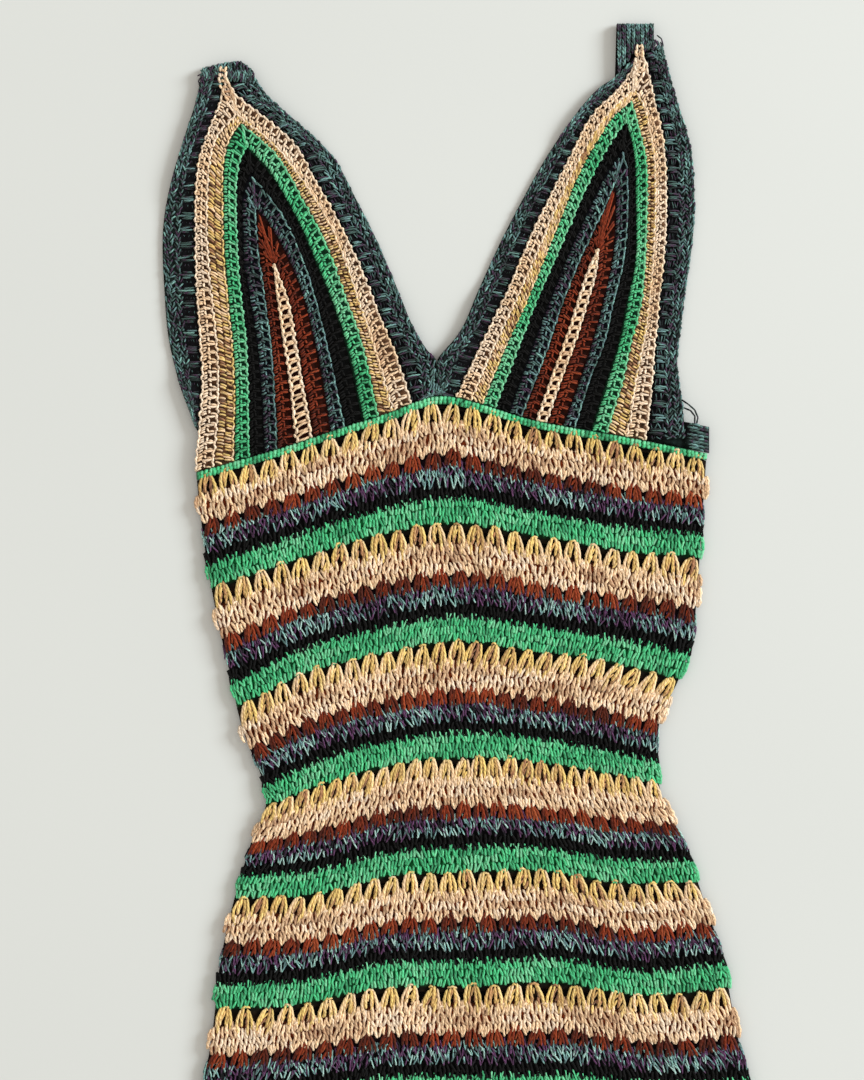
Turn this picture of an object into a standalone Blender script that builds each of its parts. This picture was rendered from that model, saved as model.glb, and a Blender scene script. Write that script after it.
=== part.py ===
"""Crochet maxi dress with two triangle cups, laid flat on its back.

Every size below is in millimetres and becomes metres when a mesh is made. X runs to
the right as the dress is seen from above, `down` runs from the top of the shoulder
folds towards the hem, and Z runs up from the surface that the dress lies on.
"""
import math
from collections import namedtuple
from functools import lru_cache

import bmesh
import bpy

METRES = 0.001
DRESS = "crochet_maxi_dress"

# Layers, from the surface up: the back panel and the strap's rear stretch, then the front
BACK_THICKNESS = 3.0
SEAM_GAP = 0.3
FRONT_UNDERSIDE = BACK_THICKNESS + SEAM_GAP
CLOTH = 2.7
FRONT_FACE = FRONT_UNDERSIDE + CLOTH
SIDE_INSET = 4.0
SIDE_ROLL = 1.0

# Outline of the tube that bodice and skirt make when laid flat
Outline = namedtuple("Outline", "down left right")
BODY_OUTLINE = [
    Outline(300, -192, 177),
    Outline(329, -191, 175),
    Outline(358, -188, 173),
    Outline(387, -184, 171),
    Outline(415, -179, 169),
    Outline(444, -173, 166),
    Outline(473, -166, 156),
    Outline(498, -161, 144),
    Outline(520, -154, 140),
    Outline(541, -145, 141),
    Outline(557, -141, 144),
    Outline(570, -143, 150),
    Outline(588, -151, 159),
    Outline(610, -158, 167),
    Outline(631, -164, 174),
    Outline(660, -171, 184),
    Outline(689, -176, 191),
    Outline(711, -178, 195),
    Outline(736, -181, 200),
    Outline(760, -186, 206),
    Outline(850, -203, 217),
    Outline(950, -214, 226),
    Outline(1100, -228, 238),
    Outline(1250, -241, 246),
    Outline(1370, -250, 250),
]

# Each stripe repeat starts at `centre`, and sags by these amounts towards the sides
RepeatTop = namedtuple("RepeatTop", "centre side_l mid_l near_l near_r mid_r side_r")
REPEAT_TOPS = [
    RepeatTop(274.3, 52, 34.5, 14.5, 15, 26, 38),
    RepeatTop(359.3, 47, 27, 9, 9, 19, 24.5),
    RepeatTop(444.2, 47, 21.5, 8, 6.5, 14.5, 26.5),
    RepeatTop(527.8, 35, 17, 5, 2, 9.5, 18.5),
    RepeatTop(609.8, 19, 16.5, 3.5, 0, 8, 7),
    RepeatTop(692.0, 17, 13, 1, -2, 7, 1),
    RepeatTop(774.5, 15, 9, 1, -1, 5, 4),
    RepeatTop(857.0, 13, 7, 2, 0, 3, 6),
    RepeatTop(939.5, 12, 5, 2, 1, 3, 8),
    RepeatTop(1022.0, 11, 5, 1, 1, 4, 9),
    RepeatTop(1104.5, 11, 6, 2, 0, 4, 8),
    RepeatTop(1187.0, 12, 6, 1, 1, 3, 7),
    RepeatTop(1269.5, 11, 5, 2, 1, 4, 8),
    RepeatTop(1352.0, 10, 5, 1, 1, 4, 8),
]
STATIONS = [-1, -2 / 3, -1 / 3, 0, 1 / 3, 2 / 3, 1]
REPEATS = len(REPEAT_TOPS) - 1

# The seam under the bust rises to a point where the two cups meet
PEAK_X = -20.0
PEAK_RISE = 3.5
PEAK_HALF_WIDTH = 20.0
PEAK_FADES_BY = 0.8

# Relief of one repeat: where each ridge and trough lies in it, and its height
Relief = namedtuple("Relief", "share rise")
EYELET_TOP = Relief(0.07, -0.2)
EYELET_FOOT = Relief(0.19, 0.0)
ROW_RELIEF = [
    Relief(0.30, 0.9),
    Relief(0.42, -0.2),
    Relief(0.62, 0.6),
    Relief(0.77, -0.2),
    Relief(0.90, 0.8),
]

# The open row: this many upright bundles of loops, with a gap after each
BUNDLES = 25
FIRST_OPEN_GAP = 2
LAST_OPEN_GAP = 21
GAP_SHARE = 0.42

# Soft folds: a ridge from one point to another
Fold = namedtuple("Fold", "from_x from_down to_x to_down half_width height")
FOLDS = [
    Fold(137, 556, 164, 598, 9, 2.2),
    Fold(-142, 558, -112, 592, 12, 1.3),
    Fold(96, 372, 148, 470, 15, 0.9),
    Fold(-62, 630, -92, 900, 24, 1.1),
    Fold(72, 690, 98, 990, 27, 1.3),
    Fold(14, 960, -22, 1300, 32, 1.1),
    Fold(152, 1030, 178, 1340, 26, 1.4),
    Fold(-148, 980, -188, 1330, 25, 1.3),
]

# The green row that joins cups and body, as shares of a repeat about the seam
TRIM_HALF = 0.035
BODY_START = 0.039
TRIM_CREST = 0.8
TRIM_STATIONS = 30

# Cups: rows of crochet worked round a centre row, each of this width
CUP_ROW_WIDTHS = [13.0, 12.2, 10.1, 10.8, 10.8, 13.0]
CUP_ROW_CREST = 0.8
CUP_STEPS = 12
Edge = namedtuple("Edge", "down x")
CUP_LEFT_OUTER = [
    Edge(38.2, -169.9), Edge(56, -174.2), Edge(80, -182.9), Edge(98, -189.0),
    Edge(127, -191.5), Edge(160, -191.5), Edge(193, -190.8), Edge(226, -188.6),
    Edge(259, -187.2), Edge(292, -189.4), Edge(322, -192.0),
]
CUP_LEFT_INNER = [
    Edge(38.2, -169.9), Edge(50, -164.9), Edge(67, -143.3), Edge(87, -121.0),
    Edge(114, -105.8), Edge(142, -90.0), Edge(177, -72.7), Edge(212, -59.0),
    Edge(243, -46.1), Edge(270, -37.5),
]
CUP_RIGHT_INNER = [
    Edge(18.0, 128.9), Edge(34, 122.4), Edge(50, 110.9), Edge(65, 95.0),
    Edge(89, 82.1), Edge(120, 66.2), Edge(155, 49.0), Edge(193, 33.1),
    Edge(228, 15.8), Edge(268, -3.5),
]
CUP_RIGHT_OUTER = [
    Edge(18.0, 128.9), Edge(27, 132.5), Edge(56, 138.2), Edge(79, 143.6),
    Edge(107, 146.2), Edge(138, 146.9), Edge(171, 144.7), Edge(204, 141.1),
    Edge(237, 138.2), Edge(270, 136.1), Edge(300, 132.5),
]

# Ribbed bands: free edges, and where each band starts and ends on both its edges
BAND_BAR_PITCH = 12.0
BAND_BAR_RISE = 0.9
BAND_ROPE_SHARE = 0.55
NECK_LEFT_FREE = [
    Edge(38.4, -149.8), Edge(46, -144.7), Edge(54, -138.5), Edge(69, -121.0),
    Edge(94, -94.3), Edge(125, -77.0), Edge(155, -61.9), Edge(187, -48.2),
    Edge(217, -36.0), Edge(237, -24.0), Edge(241.2, -19.2),
]
NECK_RIGHT_FREE = [
    Edge(38.4, 111.6), Edge(48, 97.2), Edge(71, 77.8), Edge(98, 59.8),
    Edge(129, 42.5), Edge(160, 26.6), Edge(193, 11.5), Edge(222, -1.4),
    Edge(240.8, -17.3),
]
ARM_LEFT_FREE = [
    Edge(38.4, -187.9), Edge(56, -191.5), Edge(83, -200.2), Edge(114, -209.5),
    Edge(138, -214.6), Edge(160, -216.0), Edge(193, -214.6), Edge(226, -211.7),
    Edge(257, -204.5), Edge(279, -196.5), Edge(292, -191.5),
]
ARM_RIGHT_FREE = [
    Edge(15.2, 144.0), Edge(48, 152.6), Edge(83, 163.4), Edge(107, 167.0),
    Edge(138, 167.8), Edge(164, 165.6), Edge(193, 161.3), Edge(222, 157.7),
    Edge(243, 155.5), Edge(272, 158.5), Edge(300, 161.3),
]
MITRE_HALF_GAP = 0.2

# Straps: fold line at the top, lower edge of the front layer, and the rear stretch
STRAP_RIBS = 6
STRAP_RIB_RISE = 0.35
STRAP_THICKNESS = 2.7
FOLD_TURNS = 6
STRAP_REAR_GAP = 0.7
Strap = namedtuple("Strap", "name left right rear_left rear_right fold front_end")

# Ribbed edge along the top of the back panel, whose right end shows at the underarm:
# its edges and the panel's start are shares of a repeat about the seam
BACK_BAND_TOP = -0.30
BACK_BAND_FOOT = -0.041
BACK_START = -0.032
BACK_BAND_STATIONS = 18
RIB_END_WIDTH = 15.5
RIB_END_RIBS = 3
BACK_SIDE_INSET = 0.8
BACK_COLUMNS = 16

COLOURS = {
    "front_body": (0.62, 0.42, 0.29),
    "back_body": (0.45, 0.33, 0.25),
    "underbust_trim": (0.05, 0.48, 0.19),
    "cup_left": (0.85, 0.62, 0.42),
    "cup_right": (0.80, 0.57, 0.38),
    "neck_band_left": (0.07, 0.12, 0.13),
    "neck_band_right": (0.08, 0.14, 0.15),
    "armhole_band_left": (0.10, 0.19, 0.19),
    "armhole_band_right": (0.11, 0.21, 0.21),
    "strap_left": (0.09, 0.17, 0.18),
    "strap_right": (0.13, 0.26, 0.26),
    "back_top_band": (0.10, 0.09, 0.16),
}
YARN_ROUGHNESS = 0.9


class Curve:
    """Smooth curve through a few knots, straight beyond its ends."""

    def __init__(self, knots, values):
        self.knots = list(knots)
        self.values = list(values)
        last = len(self.knots) - 1
        self.slopes = []
        for i in range(last + 1):
            low = max(i - 1, 0)
            high = min(i + 1, last)
            run = self.knots[high] - self.knots[low]
            self.slopes.append((self.values[high] - self.values[low]) / run)

    def at(self, place):
        """Value at a place."""
        if place <= self.knots[0]:
            return self.values[0] + self.slopes[0] * (place - self.knots[0])
        if place >= self.knots[-1]:
            return self.values[-1] + self.slopes[-1] * (place - self.knots[-1])
        i = 0
        while self.knots[i + 1] < place:
            i += 1
        run = self.knots[i + 1] - self.knots[i]
        t = (place - self.knots[i]) / run
        start = self.values[i] * (1 + 2 * t) * (1 - t) ** 2
        end = self.values[i + 1] * t * t * (3 - 2 * t)
        leave = self.slopes[i] * run * t * (1 - t) ** 2
        arrive = self.slopes[i + 1] * run * t * t * (t - 1)
        return start + end + leave + arrive

    def slope(self, place):
        """Change of value for each millimetre."""
        return self.at(place + 0.5) - self.at(place - 0.5)


def edge_curve(edge):
    """Curve of x against down for a table of edge points."""
    return Curve([point.down for point in edge], [point.x for point in edge])


BODY_LEFT = Curve([row.down for row in BODY_OUTLINE], [row.left for row in BODY_OUTLINE])
BODY_RIGHT = Curve([row.down for row in BODY_OUTLINE], [row.right for row in BODY_OUTLINE])
ROW_CENTRE = Curve(range(REPEATS + 1), [top.centre for top in REPEAT_TOPS])
ROW_SAGS = [
    Curve(range(REPEATS + 1), sags)
    for sags in zip(*[(t.side_l, t.mid_l, t.near_l, 0, t.near_r, t.mid_r, t.side_r)
                      for t in REPEAT_TOPS])
]


@lru_cache(maxsize=None)
def row_line(repeat):
    """Left x, right x and the curve of `down` against the share across, for one row."""
    centre = ROW_CENTRE.at(repeat)
    downs = [centre + sag.at(repeat) for sag in ROW_SAGS]
    return BODY_LEFT.at(downs[0]), BODY_RIGHT.at(downs[-1]), Curve(STATIONS, downs)


def peak_rise(x, repeat):
    """How far the point between the cups lifts a row here."""
    fade = min(max(1 - repeat / PEAK_FADES_BY, 0), 1)
    return PEAK_RISE * fade * math.exp(-((x - PEAK_X) / PEAK_HALF_WIDTH) ** 2)


def row_point(repeat, across):
    """Place on a row: `repeat` counts from the bust seam, `across` runs from -1 to 1."""
    left, right, downs = row_line(repeat)
    x = left + (right - left) * (across + 1) / 2
    return x, downs.at(across) - peak_rise(x, repeat)


def row_down_at(x, repeat):
    """How far down a row lies at this x."""
    left, right, _ = row_line(repeat)
    return row_point(repeat, 2 * (x - left) / (right - left) - 1)[1]


def fold_height(x, down):
    """Height that the soft folds add at a place."""
    height = 0.0
    for fold in FOLDS:
        run_x = fold.to_x - fold.from_x
        run_down = fold.to_down - fold.from_down
        length = math.hypot(run_x, run_down)
        along = ((x - fold.from_x) * run_x + (down - fold.from_down) * run_down) / length ** 2
        aside = abs((x - fold.from_x) * run_down - (down - fold.from_down) * run_x) / length
        if 0 < along < 1:
            height += fold.height * math.sin(math.pi * along) * math.exp(-(aside / fold.half_width) ** 2)
    return height


def smooth_step(value, low, high):
    """Ease from 0 at low to 1 at high."""
    t = min(max((value - low) / (high - low), 0), 1)
    return t * t * (3 - 2 * t)


def vertex(mesh, x, down, z):
    """New vertex from millimetres."""
    return mesh.verts.new((x * METRES, -down * METRES, z * METRES))


def finish_piece(name, mesh, collection):
    """Turn the bmesh into a named object with its own material."""
    bmesh.ops.recalc_face_normals(mesh, faces=mesh.faces)
    data = bpy.data.meshes.new(name)
    mesh.to_mesh(data)
    mesh.free()
    data.shade_smooth()
    data.set_sharp_from_angle(angle=math.radians(40))
    material = bpy.data.materials.new(name)
    material.use_nodes = True
    shader = material.node_tree.nodes["Principled BSDF"]
    shader.inputs["Base Color"].default_value = (*COLOURS[name], 1.0)
    shader.inputs["Roughness"].default_value = YARN_ROUGHNESS
    shader.inputs["Metallic"].default_value = 0.0
    data.materials.append(material)
    piece = bpy.data.objects.new(name, data)
    collection.objects.link(piece)
    return piece


def loft(name, rings, collection):
    """Closed solid through rings of equal count, each a list of (x, down, z)."""
    mesh = bmesh.new()
    rows = [[vertex(mesh, *point) for point in ring] for ring in rings]
    count = len(rows[0])
    for near, far in zip(rows, rows[1:]):
        for i in range(count):
            j = (i + 1) % count
            mesh.faces.new((near[i], near[j], far[j], far[i]))
    mesh.faces.new(rows[0])
    mesh.faces.new(rows[-1])
    return finish_piece(name, mesh, collection)


def zip_rows(mesh, upper, lower):
    """Triangles between two rows of (across, vertex) whose counts may differ."""
    i = 0
    j = 0
    while i < len(upper) - 1 or j < len(lower) - 1:
        step_upper = j == len(lower) - 1
        if not step_upper and i < len(upper) - 1:
            step_upper = upper[i + 1][0] <= lower[j + 1][0]
        if step_upper:
            mesh.faces.new((upper[i][1], upper[i + 1][1], lower[j][1]))
            i += 1
        else:
            mesh.faces.new((upper[i][1], lower[j + 1][1], lower[j][1]))
            j += 1


def gap_edges():
    """Share across of both edges of each open gap, from left to right."""
    pitch = 2 / BUNDLES
    edges = []
    for gap in range(FIRST_OPEN_GAP, LAST_OPEN_GAP + 1):
        middle = -1 + pitch * (gap + 1)
        edges += [middle - pitch * GAP_SHARE / 2, middle + pitch * GAP_SHARE / 2]
    return edges


def bundle_middles():
    """Share across of every second bundle, where the plain rows have their points."""
    pitch = 2 / BUNDLES
    bundles = list(range(FIRST_OPEN_GAP, LAST_OPEN_GAP + 1, 2)) + [LAST_OPEN_GAP + 1]
    return [-1 + pitch * (bundle + 0.5) for bundle in bundles]


class PanelRow:
    """One row of points across the front: its face points, and those on its underside."""

    def __init__(self, mesh, repeat, rise, inside, whole_underside):
        left, right, _ = row_line(repeat)
        inset = 2 * SIDE_INSET / (right - left)
        self.across = [-1, -1 + inset] + inside + [1 - inset, 1]
        self.face = []
        self.under = []
        last = len(self.across) - 1
        for i, across in enumerate(self.across):
            x, down = row_point(repeat, across)
            at_side = i in (0, last)
            height = FRONT_FACE - SIDE_ROLL if at_side else FRONT_FACE + rise
            self.face.append(vertex(mesh, x, down, height + fold_height(x, down)))
            if at_side or whole_underside:
                self.under.append(vertex(mesh, x, down, FRONT_UNDERSIDE))
            else:
                self.under.append(None)


def join_faces(mesh, upper, lower):
    """Face side between two rows, in quads where both have the same points."""
    if len(upper.across) == len(lower.across):
        for i in range(len(upper.across) - 1):
            mesh.faces.new((upper.face[i], upper.face[i + 1], lower.face[i + 1], lower.face[i]))
    else:
        zip_rows(mesh, list(zip(upper.across, upper.face)), list(zip(lower.across, lower.face)))


def open_row(mesh, upper, lower):
    """Bundles between two rows, with a gap cut right through after each open one."""
    last = len(upper.across) - 1
    for i in range(last):
        is_gap = 2 <= i <= last - 3 and i % 2 == 0
        if is_gap:
            ring = [(upper, i), (upper, i + 1), (lower, i + 1), (lower, i)]
            for (row, a), (other, b) in zip(ring, ring[1:] + ring[:1]):
                mesh.faces.new((row.face[a], other.face[b], other.under[b], row.under[a]))
        else:
            mesh.faces.new((upper.face[i], upper.face[i + 1], lower.face[i + 1], lower.face[i]))
            mesh.faces.new((upper.under[i], upper.under[i + 1], lower.under[i + 1], lower.under[i]))


def plain_underside(mesh, rows):
    """Flat underside from the first of these rows to the last, with the points at the sides."""
    first = rows[0]
    last = rows[-1]
    upper = list(zip(first.across, first.under))[1:-1]
    lower = list(zip(last.across, last.under))[1:-1]
    if len(upper) == len(lower):
        for i in range(len(upper) - 1):
            mesh.faces.new((upper[i][1], upper[i + 1][1], lower[i + 1][1], lower[i][1]))
    else:
        zip_rows(mesh, upper, lower)
    for side, inner in ((0, 1), (-1, -2)):
        for row, following in zip(rows, rows[1:]):
            mesh.faces.new((first.under[inner], row.under[side], following.under[side]))
        mesh.faces.new((first.under[inner], last.under[side], last.under[inner]))


def make_front_body(collection):
    """Front of bodice and skirt: stripe rows in relief, eyelet rows cut through."""
    mesh = bmesh.new()
    gaps = gap_edges()
    middles = bundle_middles()
    seam_stations = [-1 + 2 * step / TRIM_STATIONS for step in range(1, TRIM_STATIONS)]
    rows = [PanelRow(mesh, BODY_START, 0.0, seam_stations, True)]
    stretch = [rows[0]]
    for repeat in range(REPEATS):
        head = PanelRow(mesh, repeat + EYELET_TOP.share, EYELET_TOP.rise, gaps, True)
        foot = PanelRow(mesh, repeat + EYELET_FOOT.share, EYELET_FOOT.rise, gaps, True)
        join_faces(mesh, rows[-1], head)
        plain_underside(mesh, stretch + [head])
        open_row(mesh, head, foot)
        rows += [head, foot]
        stretch = [foot]
        for relief in ROW_RELIEF:
            row = PanelRow(mesh, repeat + relief.share, relief.rise, middles, False)
            join_faces(mesh, rows[-1], row)
            rows.append(row)
            stretch.append(row)
    hem = PanelRow(mesh, REPEATS, 0.0, middles, True)
    join_faces(mesh, rows[-1], hem)
    plain_underside(mesh, stretch + [hem])
    rows.append(hem)
    for row, following in zip(rows, rows[1:]):
        for side in (0, -1):
            mesh.faces.new((row.face[side], following.face[side], following.under[side], row.under[side]))
    for row in (rows[0], hem):
        for i in range(len(row.across) - 1):
            mesh.faces.new((row.face[i], row.face[i + 1], row.under[i + 1], row.under[i]))
    return finish_piece("front_body", mesh, collection)


def make_back_body(collection):
    """Back of bodice and skirt, under the front, with a flat underside that rests."""
    mesh = bmesh.new()
    rows = []
    for repeat in [BACK_START] + [step / 2 for step in range(1, 2 * REPEATS + 1)]:
        row = []
        for column in range(BACK_COLUMNS + 1):
            across = -1 + 2 * column / BACK_COLUMNS
            x, down = row_point(repeat, across)
            row.append(vertex(mesh, x - across * BACK_SIDE_INSET, down, BACK_THICKNESS))
        rows.append(row)
    for near, far in zip(rows, rows[1:]):
        for i in range(BACK_COLUMNS):
            mesh.faces.new((near[i], near[i + 1], far[i + 1], far[i]))
    under = [[floor_below(mesh, top) for top in rows[0]]]
    under += [[floor_below(mesh, row[0]), floor_below(mesh, row[-1])] for row in rows[1:-1]]
    under.append([floor_below(mesh, top) for top in rows[-1]])
    for i in range(len(rows) - 1):
        mesh.faces.new(under[i] + under[i + 1][::-1])
        for side in (0, -1):
            mesh.faces.new((rows[i][side], rows[i + 1][side], under[i + 1][side], under[i][side]))
    for end in (0, -1):
        for i in range(BACK_COLUMNS):
            mesh.faces.new((rows[end][i], rows[end][i + 1], under[end][i + 1], under[end][i]))
    return finish_piece("back_body", mesh, collection)


def floor_below(mesh, top):
    """New vertex on the surface, straight below another."""
    return mesh.verts.new((top.co.x, top.co.y, 0.0))


def make_underbust_trim(collection):
    """Green row that is worked over the seam between the cups and the body."""
    rings = []
    for step in range(TRIM_STATIONS + 1):
        across = -1 + 2 * step / TRIM_STATIONS
        at_end = step in (0, TRIM_STATIONS)
        roll = SIDE_ROLL if at_end else 0.0
        x_high, down_high = row_point(-TRIM_HALF, across)
        x_low, down_low = row_point(TRIM_HALF, across)
        x_mid, down_mid = row_point(0.0, across)
        rings.append([
            (x_high, down_high, FRONT_UNDERSIDE),
            (x_high, down_high, FRONT_FACE - roll),
            (x_mid, down_mid, FRONT_FACE + TRIM_CREST - roll),
            (x_low, down_low, FRONT_FACE - roll),
            (x_low, down_low, FRONT_UNDERSIDE),
        ])
    return loft("underbust_trim", rings, collection)


def leg_x(edge, inward, offset, down):
    """x of a crochet row that lies this far inside a cup's edge."""
    return edge.at(down) + inward * offset * math.hypot(1, edge.slope(down))


def leg_foot(edge, inward, offset):
    """How far down a row's leg meets the seam."""
    down = ROW_CENTRE.at(0)
    for _ in range(20):
        down = row_down_at(leg_x(edge, inward, offset, down), -BODY_START)
    return down


def leg_apex(left_edge, right_edge, offset, foot):
    """How far down the two legs of one row meet at their point."""
    high = max(left_edge.knots[0], right_edge.knots[0])
    low = foot
    for _ in range(40):
        middle = (high + low) / 2
        width = leg_x(right_edge, -1, offset, middle) - leg_x(left_edge, 1, offset, middle)
        if width > 0:
            low = middle
        else:
            high = middle
    return low


def cup_arch(left_edge, right_edge, offset):
    """Pointed arch of one crochet row: both its legs, from foot to point."""
    left_foot = leg_foot(left_edge, 1, offset)
    right_foot = leg_foot(right_edge, -1, offset)
    apex = leg_apex(left_edge, right_edge, offset, min(left_foot, right_foot))
    left = []
    right = []
    for step in range(CUP_STEPS + 1):
        share = step / CUP_STEPS
        down = left_foot + (apex - left_foot) * share
        left.append((leg_x(left_edge, 1, offset, down), down))
        down = right_foot + (apex - right_foot) * share
        right.append((leg_x(right_edge, -1, offset, down), down))
    return left, right


def cup_offsets():
    """Offset and rise of each ridge and trough, from the cup's edge inwards."""
    offsets = [(0.0, -0.3)]
    edge = 0.0
    for width in CUP_ROW_WIDTHS:
        offsets.append((edge + width / 2, CUP_ROW_CREST))
        edge += width
        offsets.append((edge, 0.0))
    return offsets


def make_cup(name, left_table, right_table, collection):
    """Triangle cup: rows in relief round a centre row, over a plain inside."""
    left_edge = edge_curve(left_table)
    right_edge = edge_curve(right_table)
    mesh = bmesh.new()
    paths = []
    for offset, rise in cup_offsets():
        left, right = cup_arch(left_edge, right_edge, offset)
        points = left + right[-2::-1]
        paths.append([vertex(mesh, x, down, FRONT_FACE + rise) for x, down in points])
        if offset == 0.0:
            outline = points
    for outer, inner in zip(paths, paths[1:]):
        for i in range(len(outer) - 1):
            mesh.faces.new((outer[i], outer[i + 1], inner[i + 1], inner[i]))
    core = paths[-1]
    last = len(core) - 1
    spine = []
    for i in range(CUP_STEPS):
        middle = (core[i].co + core[last - i].co) / 2
        spine.append(mesh.verts.new((middle.x, middle.y, (FRONT_FACE + CUP_ROW_CREST) * METRES)))
    spine[0].co.y = -row_down_at(spine[0].co.x / METRES, -BODY_START) * METRES
    spine.append(core[CUP_STEPS])
    for i in range(CUP_STEPS - 1):
        mesh.faces.new((core[i], core[i + 1], spine[i + 1], spine[i]))
        mesh.faces.new((core[last - i], spine[i], spine[i + 1], core[last - i - 1]))
    i = CUP_STEPS - 1
    mesh.faces.new((core[i], spine[i + 1], spine[i]))
    mesh.faces.new((core[last - i], spine[i], spine[i + 1]))
    feet = [path[0] for path in paths] + [spine[0]] + [path[-1] for path in reversed(paths)]
    rim = paths[0] + feet[-2:0:-1]
    under = [mesh.verts.new((top.co.x, top.co.y, FRONT_UNDERSIDE * METRES)) for top in rim]
    for i, top in enumerate(rim):
        j = (i + 1) % len(rim)
        mesh.faces.new((top, rim[j], under[j], under[i]))
    mesh.faces.new(under)
    finish_piece(name, mesh, collection)
    return outline


def outline_x(side, down):
    """x of a cup's straight-sided outline at this place."""
    points = sorted(side, key=lambda point: point[1])
    if down <= points[0][1]:
        return points[0][0]
    for (x, here), (next_x, below) in zip(points, points[1:]):
        if here <= down <= below:
            return x + (next_x - x) * (down - here) / (below - here)
    return points[-1][0]


def band_ring(inner, outer, is_bar, sag):
    """Section of a ribbed band from the cup's edge to its free edge."""
    def across(share, z):
        x = inner[0] + (outer[0] - inner[0]) * share
        down = inner[1] + (outer[1] - inner[1]) * share
        return x, down, z - sag * FRONT_UNDERSIDE * smooth_step(share, 0.0, 0.75)

    bar = BAND_BAR_RISE if is_bar else -0.2
    return [
        across(0.0, FRONT_FACE + bar * 0.4),
        across(BAND_ROPE_SHARE * 0.5, FRONT_FACE + bar),
        across(BAND_ROPE_SHARE, FRONT_FACE - 0.1),
        across((1 + BAND_ROPE_SHARE) / 2, FRONT_FACE + 0.6),
        across(1.0, FRONT_FACE - 0.9),
        across(1.0, FRONT_UNDERSIDE),
        across(0.5, FRONT_UNDERSIDE),
        across(0.0, FRONT_UNDERSIDE),
    ]


def make_band(name, cup_side, toward, free_table, inner_span, outer_span, sags, mitre, collection):
    """Ribbed band along one edge of a cup, sagging to the surface at its free edge."""
    free = edge_curve(free_table)
    length = math.hypot(inner_span[1] - inner_span[0], free.at(outer_span[1]) - free.at(outer_span[0]))
    bars = round(length / BAND_BAR_PITCH)
    rings = []
    for step in range(2 * bars + 1):
        share = step / (2 * bars)
        down = inner_span[0] + (inner_span[1] - inner_span[0]) * share
        slope = outline_x(cup_side, down + 0.5) - outline_x(cup_side, down - 0.5)
        inner = (outline_x(cup_side, down) + toward * SEAM_GAP * math.hypot(1, slope), down)
        out_down = outer_span[0] + (outer_span[1] - outer_span[0]) * share
        outer = (free.at(out_down), out_down)
        sag = smooth_step(share, sags[0], sags[1]) * (1 - smooth_step(share, sags[2], sags[3]))
        rings.append(band_ring(inner, outer, step % 2 == 1, sag))
    if mitre:
        rings.append(band_ring(mitre[0], mitre[1], False, 0.0))
    return loft(name, rings, collection)


def make_strap(strap, collection):
    """Ribbed strap that turns over at the shoulder and runs down behind the cup."""
    rings = []
    columns = 2 * STRAP_RIBS
    for column in range(columns + 1):
        share = column / columns
        x = strap.left + (strap.right - strap.left) * share
        rear_x = strap.rear_left + (strap.rear_right - strap.rear_left) * share
        fold = strap.fold.at(share)
        rise = STRAP_RIB_RISE if column % 2 == 1 else 0.0
        middle = STRAP_THICKNESS + SEAM_GAP
        centre = fold + middle
        top = middle + STRAP_THICKNESS
        rear_end = row_down_at(rear_x, BACK_BAND_TOP) - STRAP_REAR_GAP
        ring = [(rear_x, rear_end, 0.0)]
        for turn in range(FOLD_TURNS + 1):
            angle = math.pi * turn / FOLD_TURNS
            reach = math.sin(angle) * (middle + rise)
            z = top / 2 - math.cos(angle) * (top / 2 + rise * (turn > 0))
            ring.append((x, centre - reach, max(z, 0.0)))
        ring.append((x, strap.front_end.at(share), top + rise))
        ring.append((x, strap.front_end.at(share), FRONT_UNDERSIDE))
        ring.append((x, centre, FRONT_UNDERSIDE))
        ring.append((x, centre - SEAM_GAP, (STRAP_THICKNESS + FRONT_UNDERSIDE) / 2))
        ring.append((x, centre, STRAP_THICKNESS))
        ring.append((rear_x, rear_end, STRAP_THICKNESS))
        rings.append(ring)
    return loft(strap.name, rings, collection)


def make_back_top_band(collection):
    """Ribbed edge of the back, whose right end is folded to the front at the underarm."""
    left = row_point(BACK_BAND_TOP, -1)[0] + SIDE_INSET
    right = row_point(BACK_BAND_TOP, 1)[0]
    rib_start = right - RIB_END_WIDTH
    places = []
    for station in range(BACK_BAND_STATIONS + 1):
        share = station / BACK_BAND_STATIONS
        places.append((left + (rib_start - 0.6 - left) * share, BACK_THICKNESS))
    for rib in range(RIB_END_RIBS):
        width = RIB_END_WIDTH / RIB_END_RIBS
        places.append((rib_start + width * rib, FRONT_FACE - 0.3))
        places.append((rib_start + width * (rib + 0.5), FRONT_FACE + 0.5))
    places.append((right, FRONT_FACE - 0.9))
    rings = []
    for x, top in places:
        upper = row_down_at(x, BACK_BAND_TOP)
        lower = row_down_at(x, BACK_BAND_FOOT)
        rings.append([(x, upper, 0.0), (x, upper, top), (x, lower, top), (x, lower, 0.0)])
    return loft("back_top_band", rings, collection)


def place_on_origin(collection):
    """Move every piece so that the box of the whole dress stands centred on the origin."""
    corners = []
    for piece in collection.objects:
        corners += [vert.co for vert in piece.data.vertices]
    lows = [min(corner[axis] for corner in corners) for axis in range(3)]
    highs = [max(corner[axis] for corner in corners) for axis in range(3)]
    shift_x = -(lows[0] + highs[0]) / 2
    shift_y = -(lows[1] + highs[1]) / 2
    for piece in collection.objects:
        for vert in piece.data.vertices:
            vert.co.x += shift_x
            vert.co.y += shift_y
            vert.co.z -= lows[2]


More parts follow.
